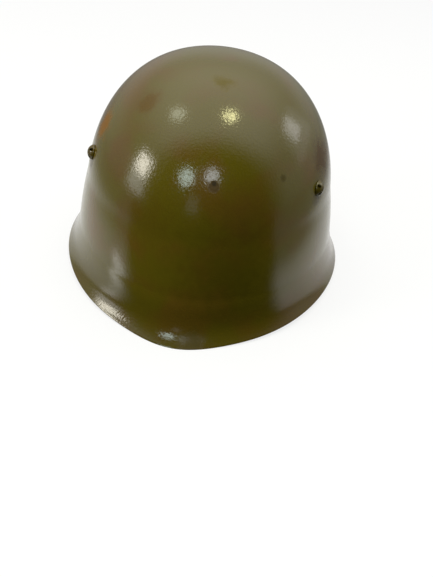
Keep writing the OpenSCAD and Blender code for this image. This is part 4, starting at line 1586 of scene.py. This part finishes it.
@dataclass(frozen=True)
class LeatherLiner:
    """The felt strip and the leather ring with its tongues, held by split rivets."""

    felt_w: float = 22 * MM
    felt_round: float = 0.9 * MM
    low: float = 42 * MM
    ring_w: float = 30 * MM
    tongues: int = 8
    reach: float = 0.8
    taper: float = 0.4
    tip_from: float = 0.8
    tip_end: float = 1.004
    tip_n: float = 2.2
    edge_round: float = 0.45 * MM
    lace_d: float = 5 * MM
    lace_at: float = 6 / 7
    head_d: float = 6.5 * MM
    split_w: float = 2.6 * MM
    split_leg: float = 6 * MM
    split_t: float = 0.8 * MM
    split_bend: float = 1.0 * MM
    split_from: float = 1.2 * MM
    split_top: float = 2.5 * MM
    flat_from: float = 1.6 * MM
    hole_play: float = 0.2 * MM
    columns: int = 20
    ring_rows: int = 12
    tongue_rows: int = 34
    row_n: float = 0.9
    swell: float = 0.9 * MM
    swell_up: float = 0.2
    curl: float = 1.6 * MM
    wave: float = 0.5 * MM
    wave_turns: tuple[float, float, float] = (9.0, 2.4, 1.7)
    wave_fade: float = 4.0

    def rise(self, s: float | np.ndarray) -> float | np.ndarray:
        """Gives how far up the dome a share s of the tongue lies."""
        root = float(SURFACE.up_at(self.low + self.ring_w))
        return root + (self.reach - root) * s

    def depth(self, s: float | np.ndarray) -> float | np.ndarray:
        """Gives the leather's depth at a share s of the tongue."""
        return LAYERS.leather + (LAYERS.tip - LAYERS.leather) * np.sin(np.clip(s, 0, 1) * math.pi / 2) ** 2

    def share(self, s: np.ndarray) -> np.ndarray:
        """Gives a tongue's width at a share s of its length, as a share of its root's."""
        tip = np.clip((s - self.tip_from) / (self.tip_end - self.tip_from), 0, 1)
        return (1 - self.taper * s) * np.sqrt(1 - tip**self.tip_n)

    def leather(self) -> Obj:
        """Makes the leather: a closed ring whose upper part parts into tongues, all one piece.

        Returns:
            The leather's object.
        """
        ring, rows = self.ring_rows, self.ring_rows + self.tongue_rows
        s = np.clip((np.arange(rows + 1) - ring) / self.tongue_rows, 0, 1) ** self.row_n
        ring_up = SURFACE.up_at(self.low + self.ring_w * np.arange(ring + 1) / ring)
        up = np.concatenate([ring_up, self.rise(s[ring + 1 :])])[:, None, None]
        s, tongue = s[:, None, None], np.arange(self.tongues)[:, None]
        across = np.arange(self.columns + 1) / self.columns * 2 - 1
        turn = 2 * math.pi / self.tongues * (tongue + 0.5 + across / 2 * self.share(s))
        level = np.clip(1 - np.abs(up - SURFACE.up_at(BAND_Z)) / self.swell_up, 0, 1)
        swell = self.swell * level * ease(1 - np.abs(across))
        curl = self.curl * np.sin(math.pi * s) * across**2
        a, b, c = self.wave_turns
        wave = self.wave * np.sin(a * up + b * tongue) * np.cos(c * across + tongue)
        depth = self.depth(s) + swell - curl + wave * np.clip(s * self.wave_fade, 0, 1)
        points = [SURFACE.inset(turn, up, depth + t).reshape(-1, 3) for t in (0.0, LAYERS.leather_t)]
        size = turn.size
        number = np.arange(size).reshape(turn.shape)
        number[: ring + 1, :, -1] = np.roll(number[: ring + 1, :, 0], -1, 1)
        outward = quads(number)
        bottom, top, first, last = number[0], number[-1], number[ring:, :, 0], number[ring:, :, -1]
        edges = (
            (bottom[:, 1:], bottom[:, :-1]),
            (top[:, :-1], top[:, 1:]),
            (first[:-1], first[1:]),
            (last[1:], last[:-1]),
        )
        rim = [(q, p, p + size, q + size) for pair in edges for q, p in np.stack(pair, -1).reshape(-1, 2)]
        faces = [*outward, *(outward[:, ::-1] + size), *rim]
        obj = mesh_object("tongued_leather_liner", np.concatenate(points), faces)
        clean(obj.data)
        return obj

    def split_rivet(self) -> Obj:
        """Makes a split rivet at the origin: a domed head and two flat legs bent apart on the leather.

        Returns:
            The rivet's object.
        """
        end = LAYERS.leather + LAYERS.leather_t - LAYERS.band + 3 * LAYERS.seat
        head = domed_rivet(end - self.split_from, self.head_d, self.split_w, self.split_w)
        bend, middle = self.split_bend, -end - self.split_t / 2
        corner = arc((bend, middle + bend), bend, 180, 270, 8)
        flat = [(x, middle) for x in np.linspace(self.flat_from, self.split_leg, 9)]
        line = np.concatenate([[(0.0, self.split_top - end)], corner, flat])
        section = strip_section(self.split_w, self.split_t, STRIP_CORNER)
        legs = [sweep("leg", in_plane(line * (side, 1)), section, tipped(len(line))) for side in (1, -1)]
        return joined("split_rivet", head, *legs)

    def build(self, band: LinerBand) -> None:
        """Makes the felt, the leather and the split rivets.

        Args:
            band: the steel band, whose ring the felt follows.
        """
        half, hole_d = self.felt_w / 2, self.split_w + self.hole_play
        felt = band.ring("pressed_felt_strip", LAYERS.felt, LAYERS.felt_t, BAND_Z - half, BAND_Z + half, 10)
        drill(felt, split_seats(LAYERS.felt + LAYERS.felt_t / 2), hole_d)
        bevelled(felt, self.felt_round, segments=3)
        hand_over(felt, "helmet", "felt_strip", "grey_felt", 60.0)
        leather = self.leather()
        drill(leather, split_seats(LAYERS.leather), hole_d)
        lift, depth = self.rise(self.lace_at), self.depth(self.lace_at)
        turns = [math.radians(around) for around in SPLITS]
        holes = [seat_frame(SURFACE.inset(t, lift, depth), (0, 0, -1), SURFACE.out(t, lift)) for t in turns]
        drill(leather, holes, self.lace_d)
        bevelled(leather, self.edge_round, 50.0)
        hand_over(leather, "helmet", "leather_liner", "liner_leather", 50.0)
        seats = split_seats(LAYERS.band - LAYERS.seat)
        FastenerSet("bent_split_rivets", "split_rivets", seats).build(self.split_rivet())


@dataclass(frozen=True)
class Hangers:
    """The strap hangers, each a strip rolled into an eye, with their rivets and the wire rings in them."""

    width: float = 14 * MM
    thickness: float = 1.2 * MM
    up: float = 8 * MM
    drop: float = 15 * MM
    pitch: float = 9 * MM
    stand_off: float = 0.3 * MM
    end_round: float = 4 * MM
    end_share: float = 0.55
    roll_end: float = 215.0
    hole_d: float = 3.2 * MM
    hole_reach: float = 2 * MM
    wire_d: float = 2.8 * MM
    turn_play: float = 0.08 * MM
    ring_w: float = 21.8 * MM
    ring_h: float = 16 * MM
    ring_corner: float = 3 * MM

    @property
    def eye_r(self) -> float:
        """Radius inside the rolled eye."""
        return self.wire_d / 2 + self.turn_play

    @property
    def lift(self) -> float:
        """How far above the band the rivets' heads sit."""
        return self.stand_off + self.thickness + LAYERS.seat

    def seat(self, side: Side) -> Matrix:
        """Gives a hanger's place on the band.

        Args:
            side: the wearer's side.

        Returns:
            Its frame, with +Z outwards and +X down.
        """
        up, turn = SURFACE.up_at(BAND_Z), side.value * math.pi / 2
        out = SURFACE.out(turn, up)
        return seat_frame(SURFACE.inset(turn, up, LAYERS.band), (0, 0, -1), (out[0], 0.0, out[2]))

    def pair(self, lift: float) -> list[Matrix]:
        """Gives the places of two rivets on a hanger that lies at the origin, at a height."""
        return [Matrix.Translation((x, 0, lift)) for x in (-self.pitch / 2, self.pitch / 2)]

    def rivet_seats(self, lift: float) -> list[Matrix]:
        """Gives the places of both hangers' rivets, a lift above the band."""
        return [self.seat(side) @ spot for side in Side for spot in self.pair(lift)]

    def eye(self, side: Side) -> Vector:
        """Gives the middle of the rolled eye."""
        return self.seat(side) @ Vector((self.drop, 0, self.stand_off + self.thickness + self.eye_r))

    def hanger(self, side: Side) -> Obj:
        """Makes a hanger: a strip with a rounded upper end whose lower end rolls round the ring.

        Args:
            side: the wearer's side.

        Returns:
            The hanger's object.
        """
        middle = self.stand_off + self.thickness / 2
        radius = self.eye_r + self.thickness / 2
        straight = [(x, middle) for x in np.linspace(-self.up, self.drop, 32)]
        roll = arc((self.drop, middle + radius), radius, -90, self.roll_end, 30)
        line = np.concatenate([straight, roll[1:]])
        wide = self.end_share + (1 - self.end_share) * quarter((line[:, 0] + self.up) / self.end_round)
        section = strip_section(self.width, self.thickness, STRIP_CORNER)
        obj = sweep(f"{side.name.lower()}_rolled_hanger", in_plane(line), section, wide)
        drill(obj, self.pair(middle), self.hole_d, self.hole_reach)
        return placed(obj, self.seat(side))

    def build(self) -> None:
        """Makes both hangers, their rivets and both rings."""
        for side in Side:
            name = side.name.lower()
            hand_over(self.hanger(side), "helmet", f"{name}_hanger", "band_steel")
            eye = self.eye(side)
            seat = seat_frame((eye.x, SURFACE.crown_y, eye.z - self.ring_h / 2), (0, 1, 0), (1, 0, 0))
            sizes = self.ring_w, self.ring_h, self.ring_corner, self.wire_d
            ring = BentLoop.of_wire(f"{name}_strap_ring_wire", *sizes)
            ring.build(f"{name}_ring", f"{name}_ring", seat)
        rivet = domed_rivet(self.lift + LAYERS.band_t + 2 * LAYERS.seat)
        FastenerSet("domed_hanger_rivets", "hanger_rivets", self.rivet_seats(self.lift)).build(rivet)


@dataclass(frozen=True)
class StrapLine:
    """The line of one half of the chin strap: h runs along it from its ring's lower bar."""

    side: Side
    under: float
    bars: tuple[float, ...]
    ring_x: float = 103.556 * MM
    bar_z: float = 27.5814 * MM
    width: float = 15 * MM
    thickness: float = 1.8 * MM
    fall: float = 40 * MM
    off: float = 20 * MM
    off_from: float = 0.8
    off_over: float = 1.2
    eye_r: float = 1.48 * MM
    opening: float = 6 * MM
    fold: float = 17 * MM
    near: float = 0.6 * MM
    lying_gap: float = 0.05 * MM
    corner: float = 0.5 * MM
    crease: float = 1.8 * MM
    end_share: float = 0.1

    def drop(self, h: float | np.ndarray) -> float | np.ndarray:
        """Gives the height of the strap's underside."""
        return self.under + (self.bar_z - self.thickness - self.under) * ease(np.asarray(h) / self.fall)

    def place(self, h: float | np.ndarray, z: float | np.ndarray) -> np.ndarray:
        """Gives points of the strap's middle.

        Args:
            h: how far along the strap they are.
            z: their heights.

        Returns:
            The points, in the last axis of an array.
        """
        h, sign = np.asarray(h), self.side.value
        aside = self.off * smooth((h / self.fall - self.off_from) / self.off_over)
        spot = sign * (self.ring_x - h), SURFACE.crown_y - sign * aside, z
        return np.stack(np.broadcast_arrays(*spot), -1)

    def across(self, h: np.ndarray) -> np.ndarray:
        """Gives the level directions across the strap.

        Args:
            h: how far along the strap they are.

        Returns:
            One unit vector for each place.
        """
        step = 0.2 * MM
        ahead = self.place(h + step, 0.0) - self.place(h - step, 0.0)
        made = np.stack([-ahead[:, 1], ahead[:, 0], np.zeros(len(h))], -1)
        return made / np.linalg.norm(made, axis=1, keepdims=True)

    def slope(self, h: float | np.ndarray) -> float | np.ndarray:
        """Gives the strap's slope."""
        step = 0.5 * MM
        return (self.drop(h + step) - self.drop(h - step)) / (2 * step)

    def layer(self, start: float, end: float, steps: int, above: int) -> np.ndarray:
        """Gives the middle line of one of the two layers, which open round the bars.

        Args:
            start: h at its start.
            end: h at its end.
            steps: how many points it has.
            above: 1 for the upper layer, -1 for the lower one.

        Returns:
            Its points, as (h, z).
        """
        h = np.linspace(start, end, steps)
        opened = smooth(1 - np.min([np.abs(h - bar) for bar in self.bars], 0) / self.opening)
        off = self.thickness / 2 + self.lying_gap + (self.eye_r - self.lying_gap) * opened
        middle = self.drop(h) + self.thickness + self.lying_gap * (1 - opened)
        slope = self.slope(h)
        length = np.hypot(1, slope)
        return np.stack([h - above * slope / length * off, middle + above * off / length], -1)

    def turn(self, bar: float, start: float, end: float) -> np.ndarray:
        """Gives the strap's middle line round a bar, as (h, z), between two angles."""
        middle = bar, float(self.drop(bar)) + self.thickness
        return arc(middle, self.eye_r + self.thickness / 2, start, end, 18)

    def looped(self, end: float) -> list[np.ndarray]:
        """Gives the middle line from the upper layer's end, round the ring's bar and on below.

        Args:
            end: h at its end.

        Returns:
            Its points, as (h, z), in three parts.
        """
        return [
            self.layer(self.fold, self.near, 26, 1),
            self.turn(0.0, 90, 270),
            self.layer(self.near, end, 150, -1),
        ]

    def seat(self, h: float, lift: float) -> Matrix:
        """Gives the frame of a place over the strap.

        Args:
            h: how far along the strap it is.
            lift: how far off the strap's underside it is.

        Returns:
            Its frame, with +Z outwards and +X along the strap.
        """
        slope, sign = float(self.slope(h)), self.side.value
        out = Vector((sign * slope, 0, 1)).normalized()
        return seat_frame(Vector(self.place(h, self.drop(h))) + out * lift, (-sign, 0, slope), out)

    def strap(self, name: str, lines: Sequence[np.ndarray], round_ends: tuple[float, float]) -> Obj:
        """Sweeps the strap along a middle line.

        Args:
            name: the object's name.
            lines: its points, as (h, z), in parts that follow each other.
            round_ends: over what length each end is rounded.

        Returns:
            The strap's object.
        """
        line = np.concatenate(lines)
        path = self.place(line[:, 0], line[:, 1])
        run = np.concatenate([[0.0], np.cumsum(np.linalg.norm(np.diff(path, axis=0), axis=1))])
        wide = np.ones(len(path))
        for length, from_end in zip(round_ends, (run, run[-1] - run), strict=True):
            least = 1 - min(1.0, length / (self.width / 2))
            rounded = np.maximum(quarter(from_end / length), self.end_share)
            wide = np.minimum(wide, least + (1 - least) * rounded)
        section = strip_section(self.width, self.thickness, self.corner, self.crease)
        return sweep(name, path, section, wide, across=self.across(line[:, 0]))


@dataclass(frozen=True)
class ChinStrap:
    """Both halves of the leather chin strap, its rivets, keeper and roller buckle."""

    buckle_h: float = 120 * MM
    buckle_l: float = 16 * MM
    left_under: float = 1.5 * MM
    rivet_shares: tuple[float, float] = (0.62, 0.65)
    hole_d: float = 3.2 * MM
    end_round: float = 2 * MM
    keeper_h: float = 93 * MM
    keeper_l: float = 8 * MM
    keeper_t: float = 1.2 * MM
    keeper_corner: float = 0.35 * MM
    keeper_play: float = 0.3 * MM
    slot_w: float = 5.2 * MM
    slot_l: float = 7 * MM
    slot_z: tuple[float, float] = (-6 * MM, 9 * MM)
    roller_d: float = 5.4 * MM
    roller_soft: float = 0.35 * MM
    prong_d: float = 2 * MM
    prong_rise: float = 3.85 * MM
    prong_reach: tuple[float, float] = (0.08, 1.06)
    hub_w: float = 4 * MM
    hub_steps: int = 5
    double_h: float = 127 * MM
    double_r: float = 7 * MM
    double_l: float = 56 * MM
    double_gap: float = 0.8 * MM
    tip_l: float = 5 * MM
    tip_round: float = 7 * MM
    punch_d: float = 3.6 * MM
    punch_pitch: float = 8 * MM
    punch_n: int = 5
    punch_reach: float = 1.5 * MM

    @property
    def left(self) -> StrapLine:
        """The line of the short half with the buckle."""
        return StrapLine(Side.LEFT, self.left_under, (0.0, self.buckle_h))

    @property
    def right(self) -> StrapLine:
        """The line of the long half with the holes."""
        return StrapLine(Side.RIGHT, 0.0, (0.0,))

    @property
    def left_rivets(self) -> tuple[float, float]:
        """Where the short half's rivets are along it."""
        ring, buckle = self.rivet_shares
        return ring * self.left.fold, self.buckle_h - buckle * self.left.fold

    def at_buckle(self, h: float, z: float = 0.0) -> Vector:
        """Gives a point over the strap's middle at h, a height z above the buckle's bars."""
        return Vector(self.left.place(h, self.left_under + self.left.thickness + z))

    def back(self, x: float | np.ndarray) -> float | np.ndarray:
        """Gives the height of the doubled end's upper face, x back from the bend."""
        low = 2 * self.right.thickness + self.double_gap
        return low + (2 * self.double_r - low) * ease(x / self.double_l)

    def left_strap(self) -> Obj:
        """Makes the short half: riveted round the ring and the buckle's bar, slotted for the prong.

        Returns:
            The strap's object.
        """
        line, bar, half = self.left, self.buckle_h, self.slot_w / 2
        buckle = [line.turn(bar, -90, 90), line.layer(bar - line.near, bar - line.fold, 26, 1)]
        parts = [*line.looped(bar - line.near), *buckle]
        obj = line.strap("short_buckle_strap", parts, (self.end_round, self.end_round))
        drill(obj, [line.seat(h, line.thickness) for h in self.left_rivets], self.hole_d)
        round_end = arc((half - self.slot_l, 0), half, 90, 270, 12)
        outline = np.concatenate([round_end, [(2 * half, -half), (2 * half, half)]])
        seat = seat_frame(self.at_buckle(bar), (-1, 0, 0), (0, 0, 1))
        cut(obj, prisms("slot", outline, *self.slot_z, [seat]))
        return obj

    def right_strap(self) -> Obj:
        """Makes the long half: riveted round the ring, doubled back, with a round tip and punched holes.

        Returns:
            The strap's object.
        """
        line, t, gap = self.right, self.right.thickness, self.double_gap
        tip = self.double_l + np.linspace(0.3, 1, 14) * self.tip_l
        back = np.concatenate([np.linspace(gap, self.double_l, 60), tip])
        bend = arc((self.double_h, self.double_r), self.double_r - t / 2, -90, 90, 20)
        doubled = np.stack([self.double_h - back, self.back(back) - t / 2], -1)
        parts = [*line.looped(self.double_h - gap), bend, doubled]
        obj = line.strap("long_punched_strap", parts, (self.end_round, self.tip_round))
        drill(obj, [line.seat(self.left_rivets[0], t)], self.hole_d)
        holes = []
        for k in range(self.punch_n):
            x = self.double_l - self.punch_pitch * (k + 1)
            slope = float(self.back(x + 0.5 * MM) - self.back(x - 0.5 * MM)) / MM
            spot = line.place(self.double_h - x, self.back(x) - t / 2)
            holes.append(seat_frame(spot, (-1.0, 0, slope), (slope, 0, 1)))
        drill(obj, holes, self.punch_d, self.punch_reach)
        return obj

    def prong(self) -> Obj:
        """Makes the prong: wire flattened round the buckle's bar, then straight to rest on the roller.

        Returns:
            The prong's object.
        """
        wire = self.prong_d
        radius = self.left.eye_r + wire / 4
        rise = math.degrees(math.atan2(self.prong_rise - radius, self.buckle_l))
        loop = arc((0, 0), radius, 60, -270 + rise, 36)
        ahead = np.linspace(*self.prong_reach, 16)
        straight = loop[-1] + ahead[:, None] * (np.array([self.buckle_l, self.prong_rise]) - loop[-1])
        flattening = np.clip(1 - np.arange(len(ahead)) / self.hub_steps, 0, 1)
        flat = np.concatenate([np.ones(len(loop)), flattening])
        path = np.array([self.at_buckle(self.buckle_h + h, z) for h, z in (*loop, *straight)])
        wide, thick = 1 + (self.hub_w - wire) / wire * flat, 1 - 0.5 * flat
        tip = tipped(len(flat))
        return sweep("buckle_prong_wire", path, circle(wire), wide * tip, thick * tip)

    def strap_rivets(self) -> None:
        """Makes the rivets of both straps."""
        thick, seat = 2 * self.left.thickness, LAYERS.seat
        for name, line, spots in (
            ("left_strap_rivets", self.left, self.left_rivets),
            ("right_strap_rivet", self.right, self.left_rivets[:1]),
        ):
            places = [line.seat(h, thick + 2 * seat) for h in spots]
            body = name.partition("_rivet")[0]
            FastenerSet(f"domed_{name}", name, places, body).build(domed_rivet(thick + 4 * seat))

    def keeper(self) -> None:
        """Makes the leather keeper round both layers of the short half."""
        around = 2 * self.keeper_play + self.keeper_t
        sizes = self.left.width + around, 2 * self.left.thickness + around, self.keeper_t
        section = self.keeper_t, self.keeper_l, self.keeper_corner
        loop = BentLoop("sliding_strap_keeper", "strap_leather", *sizes, *section)
        seat = seat_frame(self.at_buckle(self.keeper_h), (0, 1, 0), (1, 0, 0))
        loop.build("keeper", "strap_keeper", seat)

    def buckle(self, hangers: Hangers) -> None:
        """Makes the buckle's frame and its roller, of the rings' wire and width.

        Args:
            hangers: the hangers with the rings.
        """
        middle = self.at_buckle(self.buckle_h + self.buckle_l / 2)
        sizes = hangers.ring_w, self.buckle_l, hangers.ring_corner, hangers.wire_d
        wire = BentLoop.of_wire("buckle_wire_frame", *sizes)
        wire.build("buckle", "buckle_frame", seat_frame(middle, (0, 1, 0), (0, 0, 1)))
        half = hangers.ring_w / 2 - hangers.ring_corner - self.keeper_play
        r0, r1, soft = self.left.eye_r, self.roller_d / 2, self.roller_soft
        ends = [(r1, half - soft), (r1 - soft, half), (r0, half)]
        tube = lathe("buckle_roller_tube", [*ends, *((r, -z) for r, z in reversed(ends))], 40)
        far_bar = self.at_buckle(self.buckle_h + self.buckle_l)
        tube = placed(tube, seat_frame(far_bar, (1, 0, 0), (0, 1, 0)))
        hand_over(tube, "roller", "buckle_roller", "rivet_steel")

    def build(self, hangers: Hangers) -> None:
        """Makes the straps, their rivets, the keeper and the buckle.

        Args:
            hangers: the hangers with the rings.
        """
        hand_over(self.left_strap(), "left_strap", "left_strap", "strap_leather", 40.0)
        hand_over(self.right_strap(), "right_strap", "right_strap", "strap_leather", 40.0)
        self.strap_rivets()
        self.keeper()
        self.buckle(hangers)
        hand_over(self.prong(), "prong", "buckle_prong", "rivet_steel")


def main() -> None:
    """Builds the camera, the studio and the helmet."""
    logging.basicConfig(level=logging.INFO, format="%(name)s: %(message)s")
    bpy.context.scene.view_settings.view_transform = "Standard"
    PhotoCamera().build()
    Studio().build()
    Shell().build()
    VentRivets().build()
    hangers, band = Hangers(), LinerBand()
    band.build(hangers.rivet_seats(0.0))
    LeatherLiner().build(band)
    hangers.build()
    ChinStrap().build(hangers)


if __name__ == "__main__":
    main()
